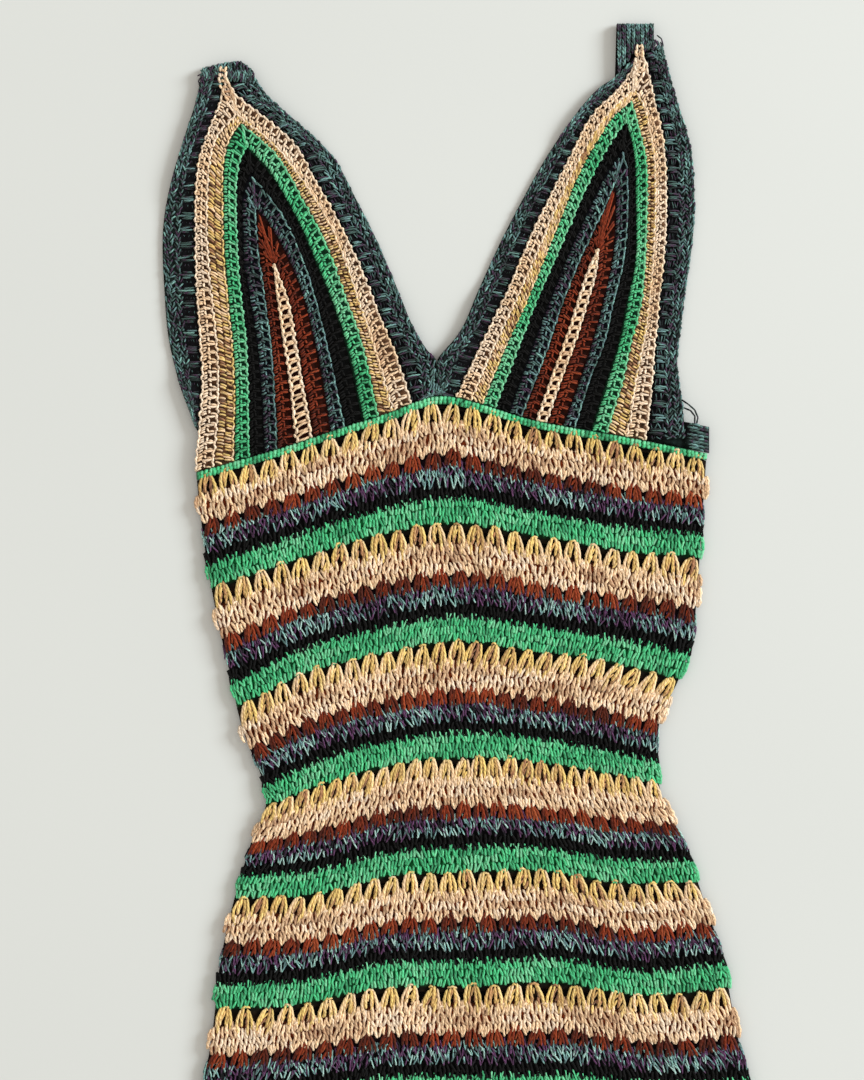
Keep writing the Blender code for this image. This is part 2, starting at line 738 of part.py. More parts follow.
def main():
    """Build the dress."""
    for old in list(bpy.data.objects):
        bpy.data.objects.remove(old)
    dress = bpy.data.collections.new(DRESS)
    bpy.context.scene.collection.children.link(dress)
    make_front_body(dress)
    make_back_body(dress)
    make_underbust_trim(dress)
    make_back_top_band(dress)
    left_outline = make_cup("cup_left", CUP_LEFT_OUTER, CUP_LEFT_INNER, dress)
    right_outline = make_cup("cup_right", CUP_RIGHT_INNER, CUP_RIGHT_OUTER, dress)
    left_outer = left_outline[:CUP_STEPS + 1]
    left_inner = left_outline[CUP_STEPS:]
    right_inner = right_outline[:CUP_STEPS + 1]
    right_outer = right_outline[CUP_STEPS:]
    seam_at_point = row_down_at(PEAK_X, -BODY_START) - SEAM_GAP
    left_mitre = ((PEAK_X - MITRE_HALF_GAP, seam_at_point), (PEAK_X + 1.9 - MITRE_HALF_GAP, 241.8))
    right_mitre = ((PEAK_X + MITRE_HALF_GAP, seam_at_point), (PEAK_X + 1.9 + MITRE_HALF_GAP, 241.8))
    neck_sags = (0.14, 0.3, 0.72, 0.86)
    arm_sags = (0.26, 0.42, 0.8, 0.9)
    make_band("neck_band_left", left_inner, 1, NECK_LEFT_FREE, (39.5, left_inner[-1][1] - SEAM_GAP),
              (38.6, 236.0), neck_sags, left_mitre, dress)
    make_band("neck_band_right", right_inner, -1, NECK_RIGHT_FREE, (19.0, right_inner[0][1] - SEAM_GAP),
              (38.6, 234.0), neck_sags, right_mitre, dress)
    make_band("armhole_band_left", left_outer, -1, ARM_LEFT_FREE, (39.5, 294.0),
              (38.6, 290.0), arm_sags, None, dress)
    make_band("armhole_band_right", right_outer, 1, ARM_RIGHT_FREE, (19.0, right_outer[-1][1] - SEAM_GAP),
              (16.0, 299.0), arm_sags, None, dress)
    make_strap(Strap("strap_left", -187.5, -151.5, -178.0, -150.0,
                     Curve([0, 0.75, 1], [32.0, 27.0, 33.0]), Curve([0, 1], [37.6, 37.6])), dress)
    make_strap(Strap("strap_right", 111.6, 138.2, 104.0, 130.0,
                     Curve([0, 1], [0.0, 0.0]), Curve([0, 0.65, 0.8, 1], [37.0, 16.0, 14.5, 13.5])), dress)
    place_on_origin(dress)


main()
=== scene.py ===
"""Crochet maxi dress, laid flat on its back: its cloth, its yarn, the floor, light and camera.

Sizes are in millimetres and turn to metres when a mesh is made. X runs to the right as
the dress is seen from above, `down` runs from the shoulder folds towards the hem, and Z
runs up from the floor. `repeat` counts the stripe repeats down from the bust seam and
`across` runs from -1 to 1 over the width of the dress.
"""
import math
from collections import namedtuple

import bpy
import numpy as np
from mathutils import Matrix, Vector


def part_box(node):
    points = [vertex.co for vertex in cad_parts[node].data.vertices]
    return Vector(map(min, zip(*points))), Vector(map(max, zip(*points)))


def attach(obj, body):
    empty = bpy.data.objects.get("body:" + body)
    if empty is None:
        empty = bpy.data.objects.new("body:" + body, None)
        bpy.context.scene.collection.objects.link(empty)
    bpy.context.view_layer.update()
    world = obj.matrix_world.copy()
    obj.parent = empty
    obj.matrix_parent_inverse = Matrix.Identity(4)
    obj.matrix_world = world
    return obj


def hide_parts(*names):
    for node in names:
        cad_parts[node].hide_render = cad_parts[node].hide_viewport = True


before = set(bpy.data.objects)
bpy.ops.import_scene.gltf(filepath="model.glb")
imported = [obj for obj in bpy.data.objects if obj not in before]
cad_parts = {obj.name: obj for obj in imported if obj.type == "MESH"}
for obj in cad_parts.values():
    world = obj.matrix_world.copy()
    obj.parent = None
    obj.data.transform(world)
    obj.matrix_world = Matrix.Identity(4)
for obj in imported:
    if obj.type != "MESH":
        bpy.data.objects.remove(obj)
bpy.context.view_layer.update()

bl_info = {
    "name": "Crochet maxi dress",
    "version": (1, 0, 0),
    "blender": (4, 5, 0),
    "location": "3D View > Sidebar > Crochet dress",
    "description": "Builds a striped crochet maxi dress, laid flat, stitch by stitch",
    "category": "Object",
}

METRES = 0.001

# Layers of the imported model, from the floor up
BACK_THICKNESS = 3.0
SEAM_GAP = 0.3
FRONT_UNDERSIDE = BACK_THICKNESS + SEAM_GAP
FRONT_FACE = 6.0
SIDE_INSET = 4.0
SIDE_ROLL = 1.0
STRAP_THICKNESS = 2.7

# How far the plain cloth lies under the face of the stitches, and how thick it is
CLOTH_DEPTH = 1.2
CLOTH_THICKNESS = 1.4

# Outline of the tube that bodice and skirt make: down, left, right
BODY_OUTLINE = [
    (300, -192, 177), (329, -191, 175), (358, -188, 173), (387, -184, 171), (415, -179, 169),
    (444, -173, 166), (473, -166, 156), (498, -161, 144), (520, -154, 140), (541, -145, 141),
    (557, -141, 144), (570, -143, 150), (588, -151, 159), (610, -158, 167), (631, -164, 174),
    (660, -171, 184), (689, -176, 191), (711, -178, 195), (736, -181, 200), (760, -186, 206),
    (850, -203, 217), (950, -214, 226), (1100, -228, 238), (1250, -241, 246), (1370, -250, 250),
]

# Where each stripe repeat starts at the centre, and its sag at seven stations across
STATIONS = [-1, -2 / 3, -1 / 3, 0, 1 / 3, 2 / 3, 1]
REPEAT_TOPS = [
    (274.3, 52, 34.5, 14.5, 15, 26, 38), (359.3, 47, 27, 9, 9, 19, 24.5),
    (444.2, 47, 21.5, 8, 6.5, 14.5, 26.5), (527.8, 35, 17, 5, 2, 9.5, 18.5),
    (609.8, 19, 16.5, 3.5, 0, 8, 7), (692.0, 17, 13, 1, -2, 7, 1),
    (774.5, 15, 9, 1, -1, 5, 4), (857.0, 13, 7, 2, 0, 3, 6),
    (939.5, 12, 5, 2, 1, 3, 8), (1022.0, 11, 5, 1, 1, 4, 9),
    (1104.5, 11, 6, 2, 0, 4, 8), (1187.0, 12, 6, 1, 1, 3, 7),
    (1269.5, 11, 5, 2, 1, 4, 8), (1352.0, 10, 5, 1, 1, 4, 8),
]
REPEATS = len(REPEAT_TOPS) - 1

# The bust seam rises to a point where the two cups meet
PEAK_X = -20.0
PEAK_RISE = 3.5
PEAK_HALF_WIDTH = 20.0
PEAK_FADES_BY = 0.8

# Relief of the cloth over one repeat: share of the repeat, and height
RELIEF_SHARES = [0, 0.07, 0.13, 0.19, 0.30, 0.42, 0.62, 0.77, 0.90, 1]
RELIEF_RISES = [0.3, -0.2, -0.2, 0.0, 0.9, -0.2, 0.6, -0.2, 0.8, 0.3]

# The open row of each repeat
BUNDLES = 25
FIRST_OPEN_GAP = 2
LAST_OPEN_GAP = 21
GAP_SHARE = 0.42
EYELET_TOP = 0.07
EYELET_FOOT = 0.19

# Soft folds: a ridge from one place to another, with its half width and height
Fold = namedtuple("Fold", "from_x from_down to_x to_down half_width height")
FOLDS = [
    Fold(137, 556, 164, 598, 9, 2.2), Fold(-142, 558, -112, 592, 12, 1.3),
    Fold(96, 372, 148, 470, 15, 0.9), Fold(-62, 630, -92, 900, 24, 1.1),
    Fold(72, 690, 98, 990, 27, 1.3), Fold(14, 960, -22, 1300, 32, 1.1),
    Fold(152, 1030, 178, 1340, 26, 1.4), Fold(-148, 980, -188, 1330, 25, 1.3),
]
# Small unevenness of laid cloth: height, wave lengths to x and to down, and where it starts
Ripple = namedtuple("Ripple", "height x_length down_length start")
RIPPLES = [Ripple(0.25, 19, 43, 0.0), Ripple(0.2, 31, -27, 1.3)]

# Green seam row, cups' feet and top of the back, as shares of a repeat about the seam
TRIM_HALF = 0.035
BODY_START = 0.039
BACK_START = -0.032
BACK_BAND_TOP = -0.30
BACK_BAND_FOOT = -0.041
RIB_END_WIDTH = 15.5
BACK_SIDE_INSET = 0.8

# Edges of the cups and free edges of the bands: down, x
CUP_LEFT_OUTER = [
    (38.2, -169.9), (56, -174.2), (80, -182.9), (98, -189.0), (127, -191.5), (160, -191.5),
    (193, -190.8), (226, -188.6), (259, -187.2), (292, -189.4), (322, -192.0),
]
CUP_LEFT_INNER = [
    (38.2, -169.9), (50, -164.9), (67, -143.3), (87, -121.0), (114, -105.8), (142, -90.0),
    (177, -72.7), (212, -59.0), (243, -46.1), (270, -37.5),
]
CUP_RIGHT_INNER = [
    (18.0, 128.9), (34, 122.4), (50, 110.9), (65, 95.0), (89, 82.1), (120, 66.2),
    (155, 49.0), (193, 33.1), (228, 15.8), (268, -3.5),
]
CUP_RIGHT_OUTER = [
    (18.0, 128.9), (27, 132.5), (56, 138.2), (79, 143.6), (107, 146.2), (138, 146.9),
    (171, 144.7), (204, 141.1), (237, 138.2), (270, 136.1), (300, 132.5),
]
# Inner edge of each crochet row on the left and right leg of a cup, from its point to the seam
LEFT_CUP_LEFT_LEG = [
    [(66.2, -162), (81.4, -176.4), (96.5, -181.1), (127.4, -183.6), (156.2, -183.6),
     (199.4, -180), (230.4, -176.4), (271.4, -175), (319, -179.3)],
    [(71.7, -159.5), (84.2, -167.8), (102.2, -171.7), (127.4, -172.1), (163.4, -171.4),
     (199.4, -168.5), (235.4, -164.9), (271.4, -163.4), (317.5, -164.2)],
    [(89.9, -154.9), (98.6, -159.8), (116.6, -162.7), (141.8, -162.5), (172.1, -161.3),
     (199.4, -158.8), (230.4, -155.5), (271.4, -154.1), (314.6, -153.4)],
    [(108.7, -151.9), (120.2, -157), (134.6, -158.4), (172.1, -157.3), (199.4, -152.6),
     (230.4, -147.6), (271.4, -144), (312.5, -142.1)],
    [(134.6, -148.1), (145.4, -148.3), (172.1, -145.4), (199.4, -141.8), (230.4, -137.5),
     (271.4, -134.6), (309.6, -133.2)],
    [(173.2, -135.4), (199.4, -133.2), (230.4, -128.9), (267.8, -123.8), (306.7, -120.1)],
]
LEFT_CUP_RIGHT_LEG = [
    [(66.2, -162), (81.4, -142.8), (96.5, -127.7), (127.4, -105), (157.3, -89.1), (199.4, -74.7),
     (230.4, -64.1), (279, -50.4)],
    [(71.7, -159.5), (81.4, -148.1), (96.5, -132.5), (127.4, -114.8), (157.3, -98.9),
     (199.4, -83.4), (230.4, -72.4), (283.5, -60.3)],
    [(89.9, -154.9), (100.8, -144), (114.5, -133.7), (143.3, -117.8), (172.4, -105),
     (200.2, -93.6), (234.7, -82.2), (288, -70.8)],
    [(108.7, -151.9), (123.8, -139.8), (140.4, -127.7), (174, -113.3), (200.2, -105.1),
     (238.3, -95.8), (293, -83.7)],
    [(134.6, -148.1), (143.3, -139.7), (172.1, -123.8), (199.4, -113.3), (230.4, -105.8),
     (260.6, -99.6), (298.8, -94.3)],
    [(173.2, -135.4), (199.4, -124.6), (230.4, -118.8), (267.8, -112.3), (302.4, -105.8)],
]
RIGHT_CUP_LEFT_LEG = [
    [(47.9, 123.4), (61.2, 108), (83.9, 91.4), (110.5, 77.5), (137.1, 65.5), (162, 55.4),
     (202.3, 37.4), (229, 24.9), (276.5, 4.3)],
    [(55.9, 121.5), (66.2, 109.4), (85, 96.5), (110.5, 82.8), (137.1, 72.1), (162, 62.2),
     (202.3, 45.7), (229, 32.9), (276.5, 13.7)],
    [(70.6, 118.1), (83.9, 108.1), (110.5, 92.9), (137.1, 80.9), (159.8, 71.3), (202.3, 52.2),
     (229, 42.2), (278.6, 22.9)],
    [(91.9, 115.4), (110.5, 103), (137.1, 90.1), (162, 78.5), (202.3, 62.2), (229, 52.2),
     (280.8, 33.6)],
    [(115.2, 110.2), (137.1, 100.8), (163.4, 88.2), (202.3, 72.1), (229, 63.5), (283.7, 42.8)],
    [(162.4, 98.1), (179.3, 89.5), (202.3, 82.1), (229, 73.4), (255.6, 63.5), (285.8, 52.8)],
]
RIGHT_CUP_RIGHT_LEG = [
    [(47.9, 123.4), (57.6, 130.3), (70.6, 133.9), (97.2, 138.7), (123.8, 139.2), (162, 138.2),
     (202.3, 134.8), (229, 130.8), (255.6, 125.4), (294.5, 118.8)],
    [(55.9, 121.5), (70.6, 125.4), (97.2, 131.8), (123.8, 132.8), (162, 131.8), (202.3, 128.7),
     (229, 121.5), (255.6, 116.1), (291.6, 104.8)],
    [(70.6, 118.1), (82.8, 121.7), (97.2, 124.4), (123.8, 125), (170.6, 125.1), (202.3, 118.8),
     (229, 113.5), (255.6, 105.5), (290.9, 94.2)],
    [(91.9, 115.4), (102.2, 118.4), (123.8, 119.5), (167, 117), (202.3, 108.7), (229, 102.8),
     (255.6, 92.2), (288.7, 82.1)],
    [(115.2, 110.2), (127.4, 110.9), (163.4, 109.4), (202.3, 101.5), (229, 94.2), (255.6, 85.5),
     (286.2, 74.2)],
    [(162.4, 98.1), (179.3, 97.2), (202.3, 90.7), (229, 82.4), (255.6, 72.4), (286.2, 62.2)],
]
NECK_LEFT_FREE = [
    (38.4, -149.8), (46, -144.7), (54, -138.5), (69, -121.0), (94, -94.3), (125, -77.0),
    (155, -61.9), (187, -48.2), (217, -36.0), (237, -24.0), (241.2, -19.2),
]
NECK_RIGHT_FREE = [
    (38.4, 111.6), (48, 97.2), (71, 77.8), (98, 59.8), (129, 42.5), (160, 26.6),
    (193, 11.5), (222, -1.4), (240.8, -17.3),
]
ARM_LEFT_FREE = [
    (38.4, -187.9), (56, -191.5), (83, -200.2), (114, -209.5), (138, -214.6), (160, -216.0),
    (193, -214.6), (226, -211.7), (257, -204.5), (279, -196.5), (292, -191.5),
]
ARM_RIGHT_FREE = [
    (15.2, 144.0), (48, 152.6), (83, 163.4), (107, 167.0), (138, 167.8), (164, 165.6),
    (193, 161.3), (222, 157.7), (243, 155.5), (272, 158.5), (300, 161.3),
]
# Shares of a band's length where its free edge sinks to the floor and where it comes up again
NECK_SAGS = (0.14, 0.3, 0.72, 0.86)
ARM_SAGS = (0.26, 0.42, 0.8, 0.9)
# The free edge of a strip is down on the floor at this share of its width
SUNK_BY = 0.75

# The picture that the camera frames: its height in pixels, the size of one, and its middle
PICTURE_HEIGHT = 1080
PIXEL = 0.72
VIEW_X = -21.6
VIEW_DOWN = 372.2
CAMERA_HEIGHT = 1500.0
SENSOR = 36.0

# The room, in metres and watts: half the floor's side, and the window light from the middle of
# the picture
FLOOR_REACH = 12.0
WINDOW_PLACE = (6.4, 2.0, 3.4)
WINDOW_SIZE = 2.8
WINDOW_POWER = 580.0
WINDOW_COLOUR = (0.91, 0.985, 1.0)
SKY_COLOUR = (1.0, 0.95, 0.865, 1.0)
SKY_STRENGTH = 0.76


class Curve:
    """Smooth curve through knots. Its values may be one table, or one row for each place."""

    def __init__(self, knots, values):
        self.knots = np.asarray(knots, float)
        self.values = np.asarray(values, float)
        self.last = len(self.knots) - 1
        low = np.maximum(np.arange(self.last + 1) - 1, 0)
        high = np.minimum(np.arange(self.last + 1) + 1, self.last)
        run = self.knots[high] - self.knots[low]
        self.slopes = (self.values[..., high] - self.values[..., low]) / run

    def at(self, place):
        """Values at these places."""
        place = np.asarray(place, float)
        inside = np.clip(place, self.knots[0], self.knots[-1])
        i = np.clip(np.searchsorted(self.knots, inside) - 1, 0, self.last - 1)
        run = self.knots[i + 1] - self.knots[i]
        t = (inside - self.knots[i]) / run
        start = pick(self.values, i) * (1 + 2 * t) * (1 - t) ** 2
        end = pick(self.values, i + 1) * t * t * (3 - 2 * t)
        leave = pick(self.slopes, i) * run * t * (1 - t) ** 2
        arrive = pick(self.slopes, i + 1) * run * t * t * (t - 1)
        beyond = np.where(place < self.knots[0], self.slopes[..., 0], self.slopes[..., -1])
        return start + end + leave + arrive + beyond * (place - inside)

    def slope(self, place):
        """Change of value for each millimetre."""
        return self.at(place + 0.5) - self.at(place - 0.5)


def pick(table, i):
    """Entry i of a plain table, or of each row of a table with many rows."""
    if table.ndim == 1:
        return table[i]
    return np.take_along_axis(table, i[..., None], -1)[..., 0]


def edge_curve(edge):
    """Curve of x against down, for a table of (down, x)."""
    return Curve(*zip(*edge))


BODY_LEFT = edge_curve([(down, left) for down, left, _ in BODY_OUTLINE])
BODY_RIGHT = edge_curve([(down, right) for down, _, right in BODY_OUTLINE])
ROW_CENTRE = Curve(range(REPEATS + 1), [top[0] for top in REPEAT_TOPS])
# The middle station has no sag
ROW_SAGS = [
    Curve(range(REPEATS + 1), [top[i] for top in REPEAT_TOPS]) if i else None
    for i in (1, 2, 3, 0, 4, 5, 6)
]
RELIEF = Curve(RELIEF_SHARES, RELIEF_RISES)

# How far the yarn of each stripe bulges over the side edges
SIDE_BULGE = Curve([0, 0.10, 0.19, 0.30, 0.42, 0.50, 0.62, 0.70, 0.77, 0.83, 0.92, 1],
                   [0.7, -0.3, 0.7, 2.0, 0.9, -0.1, 1.3, 0.5, -0.3, 0.9, 2.1, 0.7])


def row_line(repeat):
    """Left x, right x and the curve of `down` against across, for these rows."""
    centre = ROW_CENTRE.at(repeat)
    downs = [centre + (sag.at(repeat) if sag else 0) for sag in ROW_SAGS]
    left = BODY_LEFT.at(downs[0])
    right = BODY_RIGHT.at(downs[-1])
    return left, right, Curve(STATIONS, np.stack(downs, -1))


def peak_rise(x, repeat):
    """How far the point between the cups lifts a row here."""
    fade = np.clip(1 - repeat / PEAK_FADES_BY, 0, 1)
    return PEAK_RISE * fade * np.exp(-((x - PEAK_X) / PEAK_HALF_WIDTH) ** 2)


def row_place(repeat, across):
    """x, down and the row's width, for arrays of repeat and across."""
    repeat, across = np.broadcast_arrays(np.asarray(repeat, float), np.asarray(across, float))
    left, right, downs = row_line(repeat)
    x = left + (right - left) * (across + 1) / 2
    return x, downs.at(across) - peak_rise(x, repeat), right - left


def row_down_at(x, repeat):
    """How far down a row lies at this x."""
    x, repeat = np.broadcast_arrays(np.asarray(x, float), np.asarray(repeat, float))
    left, right, _ = row_line(repeat)
    return row_place(repeat, 2 * (x - left) / (right - left) - 1)[1]


def fold_height(x, down):
    """Height that the soft folds and the small unevenness of laid cloth add at a place."""
    height = sum(ripple.height * np.sin(x / ripple.x_length + down / ripple.down_length
                                        + ripple.start) for ripple in RIPPLES)
    for fold in FOLDS:
        run_x = fold.to_x - fold.from_x
        run_down = fold.to_down - fold.from_down
        length = math.hypot(run_x, run_down)
        along = ((x - fold.from_x) * run_x + (down - fold.from_down) * run_down) / length ** 2
        aside = ((x - fold.from_x) * run_down - (down - fold.from_down) * run_x) / length
        swell = np.sin(math.pi * np.clip(along, 0, 1))
        height = height + fold.height * swell * np.exp(-(aside / fold.half_width) ** 2)
    return height


def smooth_step(value, low, high):
    """Ease from 0 at low to 1 at high."""
    t = np.clip((value - low) / (high - low), 0, 1)
    return t * t * (3 - 2 * t)


def on_front(repeat, across, z):
    """Points (x, down, z) at a height over the front's face."""
    x, down, width = row_place(repeat, across)
    from_side = (1 - np.abs(across)) * width / 2
    roll = SIDE_ROLL * np.clip(1 - from_side / SIDE_INSET, 0, 1)
    rise = RELIEF.at(np.mod(repeat, 1.0)) * np.clip(from_side / SIDE_INSET, 0, 1)
    return np.stack([x, down, FRONT_FACE + rise - roll + fold_height(x, down) + z], -1)


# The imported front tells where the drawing's own x and down lie in the frame
HEM_X, HEM_DOWN, _ = row_place(REPEATS, -1)
FRONT_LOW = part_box("front_body")[0]
SHIFT_X = FRONT_LOW[0] - float(HEM_X) * METRES
SHIFT_Y = FRONT_LOW[1] + float(HEM_DOWN) * METRES


def in_frame(points):
    """Frame coordinates in metres of an array of (x, down, z)."""
    place = np.array(points, float).reshape(-1, 3) * METRES
    place[:, 1] *= -1
    return place + (SHIFT_X, SHIFT_Y, 0)


def linear(code):
    """Linear colour of an sRGB hex value."""
    parts = [int(code[i:i + 2], 16) / 255 for i in (0, 2, 4)]
    return [p / 12.92 if p <= 0.04045 else ((p + 0.055) / 1.055) ** 2.4 for p in parts]


def set_inputs(tree, node, inputs):
    """Link the inputs that are given another node's output, and set the others."""
    for socket, value in inputs.items():
        if isinstance(value, bpy.types.NodeSocket):
            tree.links.new(value, node.inputs[socket])
        else:
            node.inputs[socket].default_value = value


def add_node(tree, kind, inputs=None, **settings):
    """Add one node with its settings and inputs."""
    node = tree.nodes.new(kind)
    for key, value in settings.items():
        setattr(node, key, value)
    set_inputs(tree, node, inputs or {})
    return node


def fill_ramp(node, stops):
    """Set a colour ramp's stops from (place, linear colour) pairs."""
    elements = node.color_ramp.elements
    while len(elements) < len(stops):
        elements.new(0.5)
    for element, (place, colour) in zip(elements, stops):
        element.position = place
        element.color = (*colour, 1.0)


def new_material(name):
    """Empty material with its node tree and shader."""
    material = bpy.data.materials.new(name)
    material.use_nodes = True
    tree = material.node_tree
    return material, tree, tree.nodes["Principled BSDF"]


def coloured(stops):
    """Ramp stops with linear colours, from (place, sRGB hex value) pairs."""
    return [(place, linear(code)) for place, code in stops]


def evenly(colours):
    """Ramp stops that spread these colours from 0 to 1."""
    return [(i / max(len(colours) - 1, 1), colour) for i, colour in enumerate(colours)]


# Patterns of the yarn and the cloth, as real sizes: one turn of the two plies and the groove
# between them, a tuft of fuzz (9 in 10 mm), the spacing of the loops' knots (13 in 50 mm) and
# how deep they lie, and the board's patches. The fuzz is drawn about ten times as coarse as real
# cotton's, so that it still shows
PLIES = 2
PLY_LAY = 3.4
PLY_GROOVE = 0.3
FUZZ_TUFT = 10 / 9
KNOT_SPACING = 50 / 13
KNOT_DEPTH = 0.8
BOARD_PATCH = 625.0


def cotton_yarn(name, colours, groove=0.72, sheen=0.25, roughness=0.88):
    """Mercerised cotton yarn, spun in plies: matt, with painted shade in the groove where two plies
    meet.
    """
    material, tree, shader = new_material(name)
    # The ramp holds the yarn's dyes together with stops of painted shade and, in most yarns, of
    # painted highlight
    dye = add_node(tree, "ShaderNodeAttribute", attribute_name="dye")
    ramp = add_node(tree, "ShaderNodeValToRGB", {"Fac": dye.outputs["Fac"]})
    fill_ramp(ramp, evenly(colours))
    ply = add_node(tree, "ShaderNodeAttribute", attribute_name="ply")
    parts = add_node(tree, "ShaderNodeSeparateXYZ", {"Vector": ply.outputs["Vector"]})
    around = add_node(tree, "ShaderNodeMath", {0: parts.outputs["X"], 1: 2 * math.pi * PLIES},
                      operation="MULTIPLY")
    angle = add_node(tree, "ShaderNodeMath",
                     {0: parts.outputs["Y"], 1: 2 * math.pi / PLY_LAY, 2: around.outputs[0]},
                     operation="MULTIPLY_ADD")
    wave = add_node(tree, "ShaderNodeMath", {0: angle.outputs[0]}, operation="SINE")
    # Painted shade in the groove between the plies: the colour darkens there
    lit = add_node(tree, "ShaderNodeMapRange",
                   {"Value": wave.outputs[0], "From Min": -1.0, "From Max": 0.4,
                    "To Min": groove, "To Max": 1.0})
    tone = add_node(tree, "ShaderNodeAttribute", attribute_name="tone")
    bright = add_node(tree, "ShaderNodeMapRange",
                      {"Value": tone.outputs["Fac"], "To Min": 0.80, "To Max": 1.18})
    object_place = add_node(tree, "ShaderNodeTexCoord").outputs["Object"]
    fuzz = add_node(tree, "ShaderNodeTexNoise",
                    {"Vector": object_place, "Scale": 1 / (FUZZ_TUFT * METRES), "Detail": 2.0,
                     "Roughness": 0.6})
    fuzz_light = add_node(tree, "ShaderNodeMapRange",
                          {"Value": fuzz.outputs["Fac"], "From Min": 0.3, "From Max": 0.7,
                           "To Min": 0.90, "To Max": 1.10})
    shade = add_node(tree, "ShaderNodeMath", {0: lit.outputs[0], 1: bright.outputs[0]},
                     operation="MULTIPLY")
    shade = add_node(tree, "ShaderNodeMath", {0: shade.outputs[0], 1: fuzz_light.outputs[0]},
                     operation="MULTIPLY")
    colour = add_node(tree, "ShaderNodeVectorMath",
                      {0: ramp.outputs["Color"], "Scale": shade.outputs[0]}, operation="SCALE")
    height = add_node(tree, "ShaderNodeMath",
                      {0: fuzz.outputs["Fac"], 1: 0.5, 2: wave.outputs[0]},
                      operation="MULTIPLY_ADD")
    bump = add_node(tree, "ShaderNodeBump",
                    {"Height": height.outputs[0], "Strength": 0.55,
                     "Distance": PLY_GROOVE * METRES})
    set_inputs(tree, shader, {
        "Base Color": colour.outputs[0], "Normal": bump.outputs[0], "Roughness": roughness,
        "Specular IOR Level": 0.3, "Sheen Weight": sheen, "Sheen Roughness": 0.5})
    return material


def shaded_ground(name, stops, repeats=False):
    """Inner layer of the crochet, deep between the loops: the same yarns in shade."""
    material, tree, shader = new_material(name)
    share = add_node(tree, "ShaderNodeAttribute", attribute_name="share").outputs["Fac"]
    if repeats:
        share = add_node(tree, "ShaderNodeMath", {0: share}, operation="FRACT").outputs[0]
    ramp = add_node(tree, "ShaderNodeValToRGB", {"Fac": share})
    fill_ramp(ramp, stops)
    object_place = add_node(tree, "ShaderNodeTexCoord").outputs["Object"]
    knots = add_node(tree, "ShaderNodeTexVoronoi",
                     {"Vector": object_place, "Scale": 1 / (KNOT_SPACING * METRES)})
    # Painted light and shade: each knot is lighter in its middle and darker towards its edges
    light = add_node(tree, "ShaderNodeMapRange",
                     {"Value": knots.outputs["Distance"], "From Max": 0.8,
                      "To Min": 1.5, "To Max": 0.35})
    colour = add_node(tree, "ShaderNodeVectorMath",
                      {0: ramp.outputs["Color"], "Scale": light.outputs[0]}, operation="SCALE")
    bump = add_node(tree, "ShaderNodeBump",
                    {"Height": knots.outputs["Distance"], "Strength": 0.8,
                     "Distance": KNOT_DEPTH * METRES}, invert=True)
    set_inputs(tree, shader, {
        "Base Color": colour.outputs[0], "Normal": bump.outputs[0], "Roughness": 0.95,
        "Specular IOR Level": 0.15})
    return material


def mesh_piece(name, points, faces, material, attributes):
    """Smooth named mesh from (x, down, z) points, with its material and point attributes."""
    data = bpy.data.meshes.new(name)
    data.from_pydata(in_frame(points).tolist(), [], faces)
    for key, values in attributes.items():
        values = np.asarray(values, np.float32)
        kind, field = ("FLOAT_VECTOR", "vector") if values.ndim == 2 else ("FLOAT", "value")
        data.attributes.new(key, kind, "POINT").data.foreach_set(field, values.ravel())
    data.shade_smooth()
    data.materials.append(material)
    piece = bpy.data.objects.new(name, data)
    bpy.context.scene.collection.objects.link(piece)
    return piece


def enter(piece, node):
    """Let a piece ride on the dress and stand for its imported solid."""
    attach(piece, "root")
    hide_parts(node)
    return piece


# One length of yarn in a stitch: where it starts and ends, how far it bows to its side, its
# width, and its place on the yarn's ramp of dyes, painted shade and painted highlight
Strand = namedtuple("Strand", "u0 v0 z0 u1 v1 z1 bow width dye")
# Every length differs a little: shares of its width and bow, and how fast its place on the ramp
# of dyes and painted shading wanders
WIDTH_STRAYS = 0.12
BOW_STRAYS = 0.25
DYE_AND_SHADING_WAVE = 0.37
# A tube starts to taper at this share of its length, and is this much thinner there
TUBE_TAPER = 0.12
TUBE_THINS = 0.15
TUBE_LIFT = 0.45
THREAD_OVERLAP = 0.12
# Corners of a ring of a tube, to the side and up
CORNERS = ((1, 0), (0, 1), (-1, 0), (0, -1))
SIDES = len(CORNERS)


